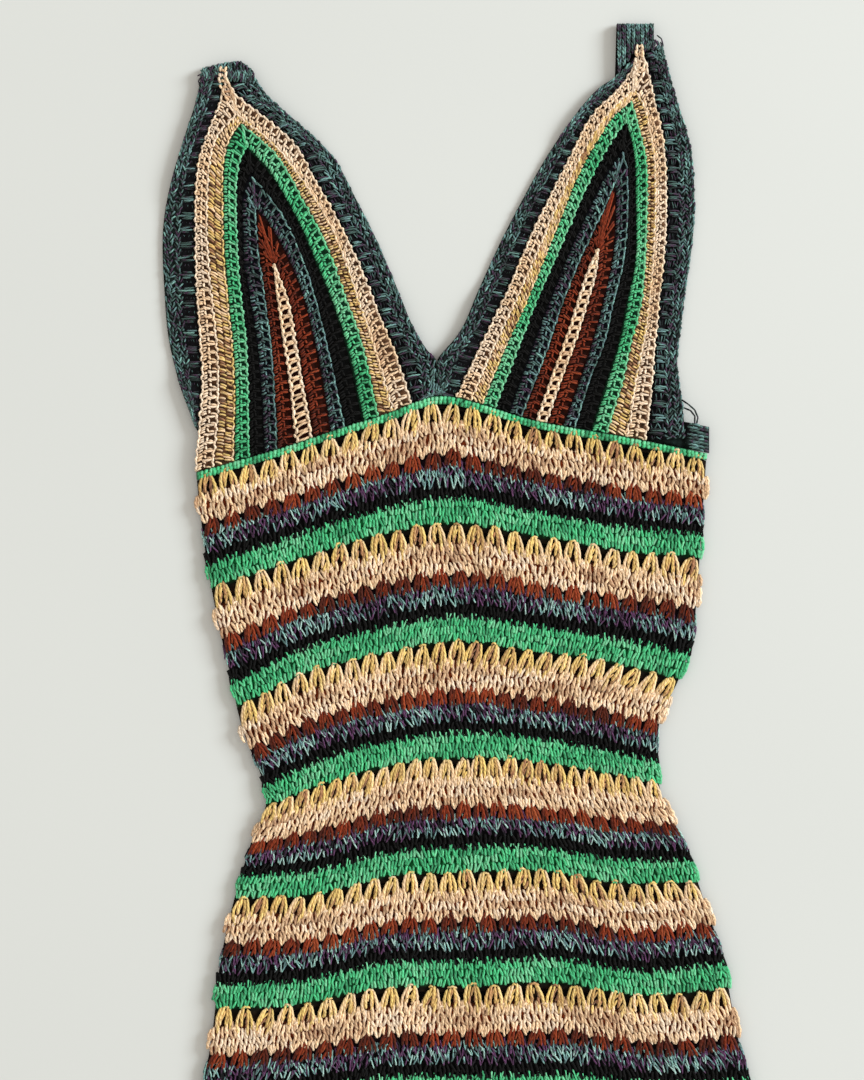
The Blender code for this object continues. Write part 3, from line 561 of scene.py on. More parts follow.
class Yarn:
    """Lengths of one yarn, gathered to become one mesh."""

    def __init__(self, seed, rings=3, mottle=0.12):
        self.random = np.random.default_rng(seed)
        self.rings = rings
        self.mottle = mottle
        self.heads = []
        self.feet = []
        self.shapes = []

    def add(self, heads, feet, bow, width, dye, lift=TUBE_LIFT):
        """Lay lengths from heads to feet, with a sideways bow and a rise in the middle."""
        count = len(heads)
        self.heads.append(heads)
        self.feet.append(feet)
        start = dye + self.mottle * self.random.uniform(-1, 1, count)
        end = dye + self.mottle * self.random.uniform(-1, 1, count)
        tone = self.random.random(count)
        row = [np.broadcast_to(np.asarray(v, float), count) for v in (bow, width, start, end, lift)]
        self.shapes.append(np.stack(row + [tone], -1))

    def sew(self, template, place, count, shake=(0.05, 0.008), drift=0.12, sway=(0.0, 0.0)):
        """Repeat one stitch: place(index, u, v, z) gives the points of its strands."""
        index = np.arange(count)
        wander = drift * np.sin(index * DYE_AND_SHADING_WAVE + self.random.uniform(0, 6))
        wander = wander + drift * self.random.uniform(-1, 1, count)
        lean = sway[0] * self.random.uniform(-1, 1, count)
        slip = sway[1] * self.random.uniform(-1, 1, count)
        for strand in template:
            off = self.random.uniform(-1, 1, (6, count))
            heads = place(index, strand.u0 - lean + off[0] * shake[0],
                          strand.v0 + slip + off[1] * shake[1], strand.z0)
            feet = place(index, strand.u1 + lean + off[2] * shake[0],
                         strand.v1 + slip + off[3] * shake[1], strand.z1)
            bow = strand.bow * (1 + BOW_STRAYS * off[5])
            width = strand.width * (1 + WIDTH_STRAYS * off[4])
            self.add(heads, feet, bow, width, strand.dye + wander)

    def trail(self, points, width, dye):
        """Lay one loose thread through these points."""
        points = np.asarray(points, float)
        over = THREAD_OVERLAP * np.diff(points, axis=0)
        self.add(points[:-1] - over, points[1:] + over, 0.0, width, dye, 0.0)

    def mesh(self, name, material):
        """One mesh of closed tapered tubes."""
        heads = np.concatenate(self.heads)
        feet = np.concatenate(self.feet)
        bow, width, start, end, lift, tone = np.concatenate(self.shapes).T
        count = len(heads)
        run = feet - heads
        flat = np.maximum(np.hypot(run[:, 0], run[:, 1]), 1e-6)
        aside = np.stack([run[:, 1], -run[:, 0]], -1) / flat[:, None]
        ts = np.concatenate([[0], np.linspace(TUBE_TAPER, 1 - TUBE_TAPER, self.rings), [1]])
        fills = 1 - TUBE_THINS * np.linspace(-1, 1, self.rings) ** 2
        fills = np.concatenate([[0], fills, [0]])
        size = 2 + SIDES * self.rings
        points = np.zeros((count, size, 3))
        ply = np.zeros((count, size, 3))
        along = np.zeros(size)
        slot = 0
        for t, fill in zip(ts, fills):
            arch = 4 * t * (1 - t)
            middle = heads + run * t
            middle[:, :2] += aside * (bow * arch)[:, None]
            middle[:, 2] += lift * arch
            lean = run[:, :2] / flat[:, None] + aside * (4 * bow * (1 - 2 * t) / flat)[:, None]
            lean /= np.hypot(lean[:, 0], lean[:, 1])[:, None]
            out = np.stack([lean[:, 1], -lean[:, 0]], -1)
            for turn, (right, up) in enumerate(CORNERS if fill else ((0, 0),)):
                points[:, slot] = middle
                points[:, slot, :2] += out * (right * fill * width / 2)[:, None]
                points[:, slot, 2] += up * fill * width / 2
                ply[:, slot, 0] = turn / SIDES
                ply[:, slot, 1] = t * flat
                along[slot] = t
                slot += 1
        dye = start[:, None] * (1 - along) + end[:, None] * along
        attributes = {
            "dye": np.clip(dye, 0, 1).ravel(),
            "tone": np.repeat(tone, size),
            "ply": ply.reshape(-1, 3),
        }
        return mesh_piece(name, points, tube_faces(count, self.rings), material, attributes)


def tube_faces(count, rings):
    """Faces of many tubes: a tip, some rings of points, and a tip."""
    tip = 1 + SIDES * rings
    last = 1 + SIDES * (rings - 1)
    threes = []
    fours = []
    for j in range(SIDES):
        k = (j + 1) % SIDES
        threes += [(0, 1 + k, 1 + j), (tip, last + j, last + k)]
        for near in range(1, last, SIDES):
            fours.append((near + j, near + k, near + SIDES + k, near + SIDES + j))
    starts = (np.arange(count) * (tip + 1))[:, None, None]
    threes = (np.array(threes)[None] + starts).reshape(-1, 3)
    fours = (np.array(fours)[None] + starts).reshape(-1, 4)
    return threes.tolist() + fours.tolist()


def grid_faces(rows, columns, missing=None):
    """Quads between rows of points, without those that `missing` marks."""
    i, j = np.meshgrid(np.arange(rows - 1), np.arange(columns - 1), indexing="ij")
    if missing is not None:
        i = i[~missing]
        j = j[~missing]
    first = (i * columns + j).ravel()
    return np.stack([first, first + columns, first + columns + 1, first + 1], -1).tolist()


def thicken(piece):
    """Give a cloth its thickness, on its underside."""
    solid = piece.modifiers.new("thickness", "SOLIDIFY")
    solid.thickness = CLOTH_THICKNESS * METRES
    solid.offset = -1.0
    solid.use_even_offset = False


def yarn_colour(name, description, code):
    """A colour of the panel, from its sRGB hex value."""
    return bpy.props.FloatVectorProperty(
        name=name, description=description, subtype="COLOR", size=3, default=linear(code),
        min=0, max=1)


def stitch_size(name, description, size, least, most):
    """A size of the panel, given in millimetres."""
    return bpy.props.FloatProperty(
        name=name, description=description, default=size * METRES, min=least * METRES,
        max=most * METRES, subtype="DISTANCE", unit="LENGTH")


class DressColours(bpy.types.PropertyGroup):
    """Colours of the yarns, as they look in soft daylight."""

    cream: yarn_colour("Cream", "Peach cream cotton", "FFDBB2")
    yellow: yarn_colour("Yellow", "Golden part of the space dyed yarn", "F3D07C")
    tan: yarn_colour("Tan", "Brown part of the space dyed yarn", "B5805C")
    rust: yarn_colour("Rust", "Rust red cotton", "8C3211")
    black: yarn_colour("Black", "Black cotton", "060505")
    green: yarn_colour("Green", "Emerald green cotton", "4FC788")
    teal: yarn_colour("Teal", "Light ply of the marl yarn", "96CCC2")
    blue: yarn_colour("Grey blue", "Middle ply of the marl yarn", "7A9EA4")
    purple: yarn_colour("Purple", "Purple ply of the marl yarn", "70426F")
    navy: yarn_colour("Navy", "Dark ply of the marl yarn", "1B1E2C")


class DressSizes(bpy.types.PropertyGroup):
    """Sizes of the stitches."""

    loop_pitch: stitch_size("Loop pitch", "Width of one cream loop", 6.0, 3, 12)
    strand_pitch: stitch_size(
        "Strand pitch", "Distance between the strands of the close rows", 2.7, 1.5, 6)
    cup_pitch: stitch_size(
        "Cup pitch", "Distance between the stitches of a cup row", 6.6, 4, 12)
    bar_pitch: stitch_size(
        "Bar pitch", "Distance between the bars of the ribbed bands", 10.5, 6, 20)


def millimetres(value):
    """A size from the panel, in millimetres."""
    return value / METRES


def dark(colour, share):
    """A colour in shade."""
    return [part * share for part in colour]


def blend_of(one, other, share):
    """Mix of two colours."""
    return [a + (b - a) * share for a, b in zip(one, other)]


def tints_of(scene):
    """The panel's colours by name."""
    colours = scene.dress_colours
    return {key: list(getattr(colours, key)) for key in DressColours.__annotations__}


MADE = {}


def made_of(key, make):
    """A material that earlier operators may have made already."""
    if key not in MADE or MADE[key].name not in bpy.data.materials:
        MADE[key] = make()
    return MADE[key]


def yarns(scene):
    """Materials of the yarns, made once."""
    tints = tints_of(scene)
    cream, yellow, tan, rust = (tints[key] for key in ("cream", "yellow", "tan", "rust"))
    teal, purple, green = (tints[key] for key in ("teal", "purple", "green"))
    white = (1, 1, 1)
    orange = (1, 0.4, 0.15)
    made = {
        # Peach cream cotton is the brightest yarn, with a warm brown painted shade between its
        # loops and a painted highlight of whitened cream
        "cream": lambda: cotton_yarn("cream_cotton", [
            dark(blend_of(cream, tan, 0.7), 0.85), cream, blend_of(cream, white, 0.28)],
            sheen=0.12),
        # Space dyed cotton runs from cream through gold to tan within a few stitches; its last stop
        # is tan in painted shade
        "yellow": lambda: cotton_yarn("space_dyed_cotton", [
            cream, blend_of(cream, yellow, 0.6), yellow, blend_of(yellow, tan, 0.5), tan,
            dark(tan, 0.45)], sheen=0.12),
        # Rust cotton reads red brown, in painted shade nearly black where it turns into a gap, and
        # with a painted orange highlight
        "rust": lambda: cotton_yarn("rust_cotton", [
            dark(rust, 0.3), rust, blend_of(rust, orange, 0.1)], sheen=0.03),
        # Emerald cotton is even and bright, darker in painted shade, with a painted mint highlight
        # on its loops
        "green": lambda: cotton_yarn("emerald_cotton", [
            dark(green, 0.5), green, blend_of(green, white, 0.14)], groove=0.8, sheen=0.06),
        # Black cotton hides its own stitches; its darker stop is painted shade
        "black": lambda: cotton_yarn("black_cotton", [dark(tints["black"], 0.5), tints["black"]],
                                     sheen=0.0, roughness=0.95),
        # Marl twists pale, blue, purple and navy plies, so light dashes lie on near black. Darkened
        # copies of its navy, purple and teal are painted shade, and whitened teal a painted
        # highlight
        "marl": lambda: cotton_yarn("marl_cotton", [
            dark(tints["navy"], 0.3), dark(purple, 0.45), dark(purple, 0.8), purple,
            dark(teal, 0.3), tints["blue"], teal, blend_of(teal, white, 0.25)],
            groove=0.45, sheen=0.05),
        # The ribs are knitted tighter, so more of the marl's dark plies shows; the ramp also
        # darkens its teal, purple and blue, as painted shade of the ribs
        "rib": lambda: cotton_yarn("marl_rib_cotton", [
            dark(tints["navy"], 0.3), dark(teal, 0.10), dark(purple, 0.5), dark(teal, 0.18),
            dark(teal, 0.34), dark(tints["blue"], 0.8), dark(teal, 0.85)],
            groove=0.45, sheen=0.04),
    }
    return {key: made_of(key, make) for key, make in made.items()}


# Stitches of the body: u in stitch widths, v in shares of a repeat or of the row, z over the face
BUNDLE = [
    Strand(-0.15, 0.030, 0.8, 0.22, 0.022, 0.8, 1.7, 2.0, 0.34),
    Strand(-0.14, 0.018, 0.8, -0.35, 0.215, 0.4, -1.6, 2.3, 0.24),
    Strand(0.20, 0.012, 0.8, 0.34, 0.225, 0.4, 1.4, 2.3, 0.18),
    Strand(0.00, 0.004, 0.9, -0.15, 0.180, 0.6, -1.2, 2.3, 0.36),
    Strand(0.11, 0.002, 0.9, 0.11, 0.180, 0.6, 0.8, 2.3, 0.46),
    Strand(0.27, 0.060, 0.9, 0.09, 0.150, 0.9, -0.2, 1.8, 0.68),
    Strand(0.09, 0.040, 0.9, -0.13, 0.115, 0.9, -0.2, 1.8, 0.50),
    Strand(0.28, 0.110, 0.8, 0.11, 0.195, 0.7, -0.2, 2.0, 0.54),
    Strand(-0.03, 0.095, 0.7, -0.24, 0.180, 0.7, -0.2, 1.9, 0.66),
    Strand(-0.28, 0.145, 0.5, -0.24, 0.255, 0.5, 0.3, 2.1, 0.04),
    Strand(0.24, 0.155, 0.5, 0.17, 0.260, 0.5, -0.3, 2.1, 0.04),
]
GAP_BAR = [
    Strand(0.34, 0.200, 0.7, 0.66, 0.182, 0.7, 0.3, 2.3, 0.7),
    Strand(0.43, 0.128, 0.2, 0.46, 0.235, 0.5, 0.2, 2.1, 0.3),
    Strand(0.59, 0.140, 0.2, 0.55, 0.240, 0.5, -0.2, 2.1, 0.5),
    Strand(0.40, 0.365, 0.7, 0.49, 0.462, 0.7, -0.5, 2.0, 0.6),
    Strand(0.61, 0.365, 0.7, 0.53, 0.455, 0.7, 0.5, 2.0, 0.4),
]
LOOP = [
    Strand(-0.18, 0.0, -0.3, -0.10, 1.0, 0.8, -1.2, 2.35, 0.40),
    Strand(0.18, 0.0, -0.3, 0.10, 1.0, 0.8, 1.2, 2.35, 0.66),
]
PLUMP_LOOP = [
    Strand(-0.25, 0.0, -0.3, -0.08, 1.0, 0.8, -0.9, 2.4, 0.45),
    Strand(0.25, 0.0, -0.3, 0.08, 1.0, 0.8, 0.9, 2.4, 0.65),
]
RUST_CLUSTER = [
    Strand(-0.07, 0.375, 0.3, -0.38, 0.555, 0.6, -1.2, 2.2, 0.08),
    Strand(0.08, 0.375, 0.3, 0.37, 0.560, 0.6, 1.2, 2.2, 0.20),
    Strand(-0.02, 0.385, 0.5, -0.21, 0.550, 0.8, -0.5, 2.1, 0.30),
    Strand(0.03, 0.385, 0.5, 0.18, 0.555, 0.8, 0.5, 2.1, 0.36),
    Strand(0.14, 0.415, 0.4, -0.06, 0.500, 0.9, 0.0, 1.9, 0.70),
    Strand(0.20, 0.455, 0.4, -0.02, 0.560, 0.8, 0.0, 2.0, 0.36),
    Strand(-0.10, 0.430, 0.4, -0.28, 0.500, 0.8, 0.0, 1.9, 0.55),
]
PURPLE_FOOT = [
    Strand(-0.22, 0.500, 0.3, -0.30, 0.610, 0.5, -0.5, 1.7, 0.32),
    Strand(0.22, 0.500, 0.3, 0.30, 0.610, 0.5, 0.5, 1.7, 0.32),
]
MARL_STRAND = [
    Strand(-0.42, -0.05, 0.0, -0.05, 1.05, 0.7, 0.4, 1.35, 0.72),
    Strand(0.42, 0.00, 0.0, 0.07, 1.08, 0.7, -0.4, 1.35, 0.48),
    Strand(-0.08, -0.10, 0.2, 0.24, 0.75, 0.4, 0.2, 1.2, 0.32),
]
SPIKES = [
    Strand(-0.28, 0.0, 0.5, -0.06, 1.0, 0.4, 0.0, 1.6, 0.6),
    Strand(0.26, 0.2, 0.5, 0.06, 1.0, 0.4, 0.0, 1.6, 0.6),
]

# Start and end of each row of plain stitches, as shares of a repeat
CREAM_ROWS = [(0.176, 0.285), (0.254, 0.358), (0.326, 0.434)]
MARL_ROWS = [(0.490, 0.575), (0.550, 0.635), (0.610, 0.700)]
BLACK_ROWS = [(0.690, 0.765), (0.740, 0.820)]
GREEN_ROWS = [(0.797, 0.878), (0.860, 0.945), (0.928, 1.015)]
SPIKE_ROWS = [(0.768, 0.835)]
SPIKE_PITCH = 6.5

# Stitches that stand by the bundles: yarn, how many there are, how far their strands stray along
# and down the row, how far their dyes and painted shading stray, and how far whole stitches
# lean and slip
BundleWork = namedtuple("BundleWork", "yarn stitch count shake drift sway")
BUNDLE_WORK = [
    BundleWork("yellow", BUNDLE, BUNDLES, (0.045, 0.014), 0.14, (0.08, 0.018)),
    BundleWork("cream", GAP_BAR, BUNDLES - 1, (0.05, 0.012), 0.12, (0.0, 0.0)),
    BundleWork("rust", RUST_CLUSTER, BUNDLES, (0.035, 0.012), 0.25, (0.06, 0.012)),
    BundleWork("marl", PURPLE_FOOT, BUNDLES, (0.04, 0.012), 0.12, (0.0, 0.0)),
]
# Stitches of the plain rows: which pitch they keep and how many times it, the shift from one row
# to the next in stitches, and the rest as above
RowWork = namedtuple("RowWork", "yarn stitch rows pitch times shift shake drift sway")
ROW_WORK = [
    RowWork("cream", LOOP, CREAM_ROWS, "loop", 1.0, 0.5, (0.10, 0.08), 0.35, (0.26, 0.14)),
    RowWork("marl", MARL_STRAND, MARL_ROWS, "strand", 2.0, 0.5, (0.24, 0.2), 0.25, (0.26, 0.1)),
    RowWork("black", LOOP, BLACK_ROWS, "strand", 2.4, 0.5, (0.15, 0.12), 0.4, (0.2, 0.1)),
    RowWork("green", PLUMP_LOOP, GREEN_ROWS, "strand", 1.8, 0.5, (0.16, 0.13), 0.25,
            (0.24, 0.14)),
    RowWork("green", SPIKES, SPIKE_ROWS, "spike", 1.0, 0.0, (0.2, 0.3), 0.3, (0.0, 0.0)),
]
FRONT_PIECES = {
    "yellow": "front_yellow_bundles", "cream": "front_cream_loops",
    "rust": "front_rust_clusters", "marl": "front_marl_strands",
    "black": "front_black_strands", "green": "front_green_strands",
}

# Painted shade of the inner cloth down one repeat: each stripe's yarn, darkened deep between
# the loops
GROUND_STOPS = [
    (0.00, "0D4423"), (0.03, "14150C"), (0.07, "1E140B"), (0.16, "2C180C"), (0.21, "8A3E1E"),
    (0.38, "843616"), (0.42, "160604"), (0.52, "140716"), (0.62, "0A0A12"), (0.70, "050405"),
    (0.81, "040604"), (0.85, "136B38"), (1.00, "126233"),
]
# What shows through the eyelets is the back out of the light: painted shade, near black with
# a faint brown and olive tint
BACK_STOPS = [(0.0, "120D08"), (0.5, "0B0908"), (1.0, "12150D")]
# Painted shade of the ribs' inner layer: black between the bars and dark green under the
# twisted edge
RIB_STOPS = [(0.0, "08070A"), (0.45, "0B0A10"), (0.6, "16201F"), (1.0, "14201E")]

# Grid of the inner cloths: where their rows and columns of points lie
FRONT_SHARES = [0.0, 0.035, EYELET_TOP, 0.13, EYELET_FOOT, 0.24, 0.30, 0.42, 0.52, 0.62, 0.7,
                0.77, 0.90]
FRONT_START_SHARES = [BODY_START, 0.055]
FRONT_SIDE_COLUMN = 0.018
BACK_ROWS_PER_REPEAT = 12
BACK_COLUMNS = 17
# Depth of the back's rows, and how far its side edges stand over the cloth's thickness
BACK_ROW_DEPTH = 0.3
BACK_SIDE_RISE = 0.2
# Keeps rounding out of the test for the open row
HAIR = 0.001


def gap_edges():
    """Across of both edges of every gap of the open row, from left to right."""
    pitch = 2 / BUNDLES
    middles = -1 + pitch * np.arange(1, BUNDLES)
    half = pitch * GAP_SHARE / 2
    return np.stack([middles - half, middles + half], -1).ravel()


def make_front_cloth(ground):
    """Front of bodice and skirt under the stitches, with the eyelets open."""
    across = np.concatenate([[-1, -1 + FRONT_SIDE_COLUMN], gap_edges(),
                             [1 - FRONT_SIDE_COLUMN, 1]])
    shares = np.array(FRONT_SHARES)
    repeats = np.concatenate([FRONT_START_SHARES, shares[2:]]
                             + [shares + r for r in range(1, REPEATS)] + [[REPEATS]])
    grid_repeat, grid_across = np.meshgrid(repeats, across, indexing="ij")
    points = on_front(grid_repeat, grid_across, -CLOTH_DEPTH)
    points[:, (0, -1), 2] = FRONT_UNDERSIDE + CLOTH_THICKNESS
    share = np.mod(grid_repeat[:-1, :-1] + HAIR, 1.0)
    open_row = (share > EYELET_TOP) & (share < EYELET_FOOT)
    column = np.arange(len(across) - 1)
    gap = (column - 2) // 2
    is_gap = (column % 2 == 0) & (gap >= FIRST_OPEN_GAP) & (gap <= LAST_OPEN_GAP)
    faces = grid_faces(len(repeats), len(across), open_row & is_gap[None, :])
    piece = mesh_piece("front_cloth", points, faces, ground, {"share": grid_repeat.ravel()})
    thicken(piece)
    return enter(piece, "front_body")


def make_back_cloth(ground):
    """Back of bodice and skirt, under the front."""
    repeats = np.arange(1, REPEATS * BACK_ROWS_PER_REPEAT + 1) / BACK_ROWS_PER_REPEAT
    repeats = np.concatenate([[BACK_START], repeats])
    across = np.linspace(-1, 1, BACK_COLUMNS)
    grid_repeat, grid_across = np.meshgrid(repeats, across, indexing="ij")
    x, down, _ = row_place(grid_repeat, grid_across)
    x = x - grid_across * BACK_SIDE_INSET
    wave = np.cos(grid_repeat * BACK_ROWS_PER_REPEAT * math.pi)
    top = BACK_THICKNESS - BACK_ROW_DEPTH * (1 - wave) / 2
    top[:, (0, -1)] = CLOTH_THICKNESS + BACK_SIDE_RISE
    points = np.stack([x, down, top], -1)
    piece = mesh_piece("back_cloth", points, grid_faces(len(repeats), len(across)), ground,
                       {"share": grid_repeat.ravel()})
    thicken(piece)
    return enter(piece, "back_body")


def bundle_places(repeat):
    """Function that places stitches by the bundles of one repeat."""
    return lambda index, u, v, z: on_front(repeat + v, -1 + 2 * (index + 0.5 + u) / BUNDLES, z)


def row_places(repeat, row, shift, count, width):
    """Function that places stitches along one row, a little over the side edges."""
    start, end = row

    def place(index, u, v, z):
        share = start + (end - start) * v
        across = -1 + 2 * (index - 0.5 + shift + u) / count
        limit = 1 + SIDE_BULGE.at(np.mod(share, 1.0)) * 2 / width
        return on_front(repeat + share, np.clip(across, -limit, limit), z)
    return place


def sew_rows(yarn, work, repeat, pitch):
    """Sew the rows of one stitch from side to side of a repeat."""
    width = float(row_place(repeat + 0.5, 0.0)[2])
    count = round(width / pitch)
    for i, row in enumerate(work.rows):
        place = row_places(repeat, row, work.shift * i, count, width)
        yarn.sew(work.stitch, place, count + 2, work.shake, work.drift, work.sway)


def body_stitches(scene):
    """All the stitches of the front, one mesh for each yarn."""
    sizes = scene.dress_sizes
    pitches = {"loop": millimetres(sizes.loop_pitch), "strand": millimetres(sizes.strand_pitch),
               "spike": SPIKE_PITCH}
    sewn = {
        "yellow": Yarn(12, mottle=0.3), "cream": Yarn(11), "rust": Yarn(13, mottle=0.3),
        "marl": Yarn(14, rings=2, mottle=0.5), "black": Yarn(15, rings=2),
        "green": Yarn(16, rings=2, mottle=0.3),
    }
    for repeat in range(REPEATS):
        for work in BUNDLE_WORK:
            sewn[work.yarn].sew(work.stitch, bundle_places(repeat), work.count, work.shake,
                                work.drift, work.sway)
        for work in ROW_WORK:
            sew_rows(sewn[work.yarn], work, repeat, work.times * pitches[work.pitch])
    yarn = yarns(scene)
    return [enter(stitches.mesh(FRONT_PIECES[key], yarn[key]), "front_body")
            for key, stitches in sewn.items()]


def distances(points):
    """Distance of each point along a line from its start."""
    steps = np.sqrt((np.diff(points, axis=0) ** 2).sum(-1))
    return np.concatenate([[0], np.cumsum(steps)])


def points_along(points, reach, along):
    """Points of a line at these distances."""
    return np.stack([np.interp(along, reach, points[:, i]) for i in range(3)], -1)


class Ribbon:
    """A strip of crochet between two edges, with a sag towards its second edge."""

    def __init__(self, first, second, sag=None):
        self.first = np.asarray(first, float)
        self.second = np.asarray(second, float)
        self.sags = np.zeros((2, len(first))) if sag is None else np.asarray(sag, float)
        self.length = distances((self.first + self.second) / 2)

    def at(self, along, share, z):
        """Points at a distance along the strip and a share across it."""
        along, share = np.broadcast_arrays(np.asarray(along, float), np.asarray(share, float))
        start = points_along(self.first, self.length, along)
        end = points_along(self.second, self.length, along)
        points = start + (end - start) * share[..., None]
        sag, far_sag = (np.interp(along, self.length, row) for row in self.sags)
        sag = sag + (far_sag - sag) * share
        points[..., 2] += z - sag * FRONT_UNDERSIDE * smooth_step(share, 0.0, SUNK_BY)
        return points

    def cloth(self, name, ground, depth, steps, columns):
        """Plain cloth of the strip."""
        along, share = np.meshgrid(np.linspace(0, self.length[-1], steps),
                                   np.linspace(0, 1, columns), indexing="ij")
        points = self.at(along, share, -depth)
        piece = mesh_piece(name, points, grid_faces(steps, columns), ground,
                           {"share": share.ravel()})
        thicken(piece)
        return piece

    def places(self, pitch, start=0.0):
        """Number of stitches along the strip and the function that places them."""
        count = max(round((self.length[-1] - start) / pitch), 1)
        step = (self.length[-1] - start) / count

        def place(index, u, v, z):
            along = np.clip(start + (index + 0.5 + v) * step, 0, self.length[-1])
            return self.at(along, np.clip(u, 0, 1), z)
        return count, place


# Steps along the edge of a cup's row, its height over the front's face, the rounds that find
# where it meets the seam, and how far up the inner edge a stitch ends for one unit of the outer
CUP_STEPS = 48
CUP_RISE = 0.3
FOOT_ROUNDS = 20
STITCH_SLANT = 0.96


class Cup:
    """A triangle cup: the edges of its crochet rows on both legs, from outside inwards."""

    def __init__(self, left_table, right_table, left_rows, right_rows):
        self.edges = (edge_curve(left_table), edge_curve(right_table))
        self.lines = ([self.line(row) for row in [left_table] + left_rows],
                      [self.line(row) for row in [right_table] + right_rows])

    def line(self, table):
        """Points of one row's edge, from the seam under the bust to the row's point."""
        edge = edge_curve(table)
        foot = foot_of(edge)
        down = foot + (table[0][0] - foot) * np.linspace(0, 1, CUP_STEPS + 1)
        return np.stack([edge.at(down), down, np.full(len(down), FRONT_FACE + CUP_RISE)], -1)

    def arch(self, row):
        """Points of one row's edge, up the left leg and down the right one."""
        left, right = (leg[row] for leg in self.lines)
        return np.concatenate([left, right[-2::-1]])

    def row(self, leg, row):
        """The strip of one row's leg. Its stitches slant a little and fan out round its point."""
        outer, inner = self.lines[leg][row:row + 2]
        reach = distances(inner)
        along = np.minimum(distances(outer) * STITCH_SLANT, reach[-1])
        return Ribbon(outer, points_along(inner, reach, along))

    def core(self):
        """The strip between the innermost edges, from the seam to its point."""
        return Ribbon(self.lines[0][-1], self.lines[1][-1])


def foot_of(edge):
    """How far down an edge meets the seam under the bust."""
    foot = REPEAT_TOPS[0][0]
    for _ in range(FOOT_ROUNDS):
        foot = float(row_down_at(edge.at(foot), -BODY_START))
    return foot


def cup_cloth(cup, name, ground):
    """Plain cloth of a cup, under its stitches."""
    rows = len(cup.lines[0])
    arches = np.stack([cup.arch(row) for row in range(rows)])
    arches[..., 2] -= CLOTH_DEPTH
    wide = 2 * CUP_STEPS + 1
    faces = grid_faces(rows, wide)
    core = (rows - 1) * wide
    for i in range(CUP_STEPS - 1):
        far = core + wide - 1 - i
        faces.append((core + i, far, far - 1, core + i + 1))
    faces.append((core + CUP_STEPS - 1, core + CUP_STEPS + 1, core + CUP_STEPS))
    share = np.repeat(np.arange(rows) / (rows - 1), wide)
    cloth = mesh_piece(name + "_cloth", arches, faces, ground, {"share": share})
    thicken(cloth)
    return enter(cloth, name)


# Cup stitches: u from the row's outer edge to its inner one, v in stitch lengths up the leg
CUP_POSTS = [
    Strand(0.06, -0.46, 0.3, 0.36, -0.26, 0.4, 0.3, 1.5, 0.50),
    Strand(0.06, -0.18, 0.3, 0.38, 0.00, 0.4, 0.3, 1.5, 0.60),
    Strand(0.06, 0.10, 0.3, 0.38, 0.28, 0.3, 0.3, 1.5, 0.42),
    Strand(0.30, 0.42, 0.3, 0.56, 0.16, 0.5, 0.5, 1.6, 0.60),
    Strand(0.52, 0.12, 0.5, 0.56, -0.34, 0.5, -0.5, 1.6, 0.62),
    Strand(0.34, 0.56, 0.4, 0.94, 0.40, 0.4, -0.7, 1.7, 0.66),
    Strand(0.56, -0.36, 0.3, 0.92, -0.52, 0.3, 0.6, 1.5, 0.38),
]
SLANTED_POSTS = [
    Strand(0.04, 0.00, 0.3, 0.48, -0.40, 0.4, 0.4, 1.5, 0.14),
    Strand(0.04, 0.34, 0.3, 0.50, -0.06, 0.4, 0.4, 1.4, 0.46),
    Strand(0.04, 0.66, 0.3, 0.46, 0.26, 0.4, 0.4, 1.4, 0.78),
    Strand(0.48, 0.08, 0.3, 0.92, -0.34, 0.3, -0.4, 1.4, 0.72),
    Strand(0.48, 0.38, 0.3, 0.92, -0.02, 0.3, -0.4, 1.5, 0.12),
    Strand(0.48, 0.70, 0.3, 0.92, 0.30, 0.3, -0.4, 1.4, 0.48),
    Strand(0.98, -0.50, 0.5, 0.88, -0.02, 0.6, -0.5, 1.5, 0.26),
    Strand(0.86, 0.00, 0.5, 0.98, 0.50, 0.6, -0.3, 1.5, 0.34),
]
# The chains sit high on the ramp, in each yarn's lightest stops: painted highlight along the row's
# edge
LEFT_CHAIN = [
    Strand(0.04, -0.52, 0.5, 0.10, 0.08, 0.7, 1.1, 1.7, 0.9),
    Strand(0.12, -0.02, 0.5, 0.03, 0.55, 0.6, 0.3, 1.6, 0.8),
]
RIGHT_CHAIN = [
    Strand(0.94, -0.52, 0.5, 0.90, 0.08, 0.7, -1.2, 1.8, 0.9),
    Strand(0.88, -0.02, 0.5, 0.97, 0.55, 0.6, -0.3, 1.7, 0.8),
]
CORE_STITCH = [
    Strand(0.06, -0.52, 0.6, 0.12, 0.20, 0.7, -0.9, 2.3, 0.8),
    Strand(0.94, -0.52, 0.6, 0.88, 0.20, 0.7, 0.9, 2.3, 0.9),
    Strand(0.12, 0.10, 0.5, 0.04, 0.55, 0.6, 0.0, 1.9, 0.7),
    Strand(0.88, 0.10, 0.5, 0.96, 0.55, 0.6, 0.0, 1.9, 0.8),
    Strand(0.16, 0.02, 0.3, 0.86, 0.30, 0.4, 1.2, 2.0, 0.5),
    Strand(0.16, -0.34, 0.2, 0.84, -0.30, 0.3, -0.7, 1.9, 0.4),
]


def other_leg(template):
    """The same stitch for the leg that runs down again, so that its holes stay on the right."""
    return [strand._replace(u0=1 - strand.u0, u1=1 - strand.u1) for strand in template]


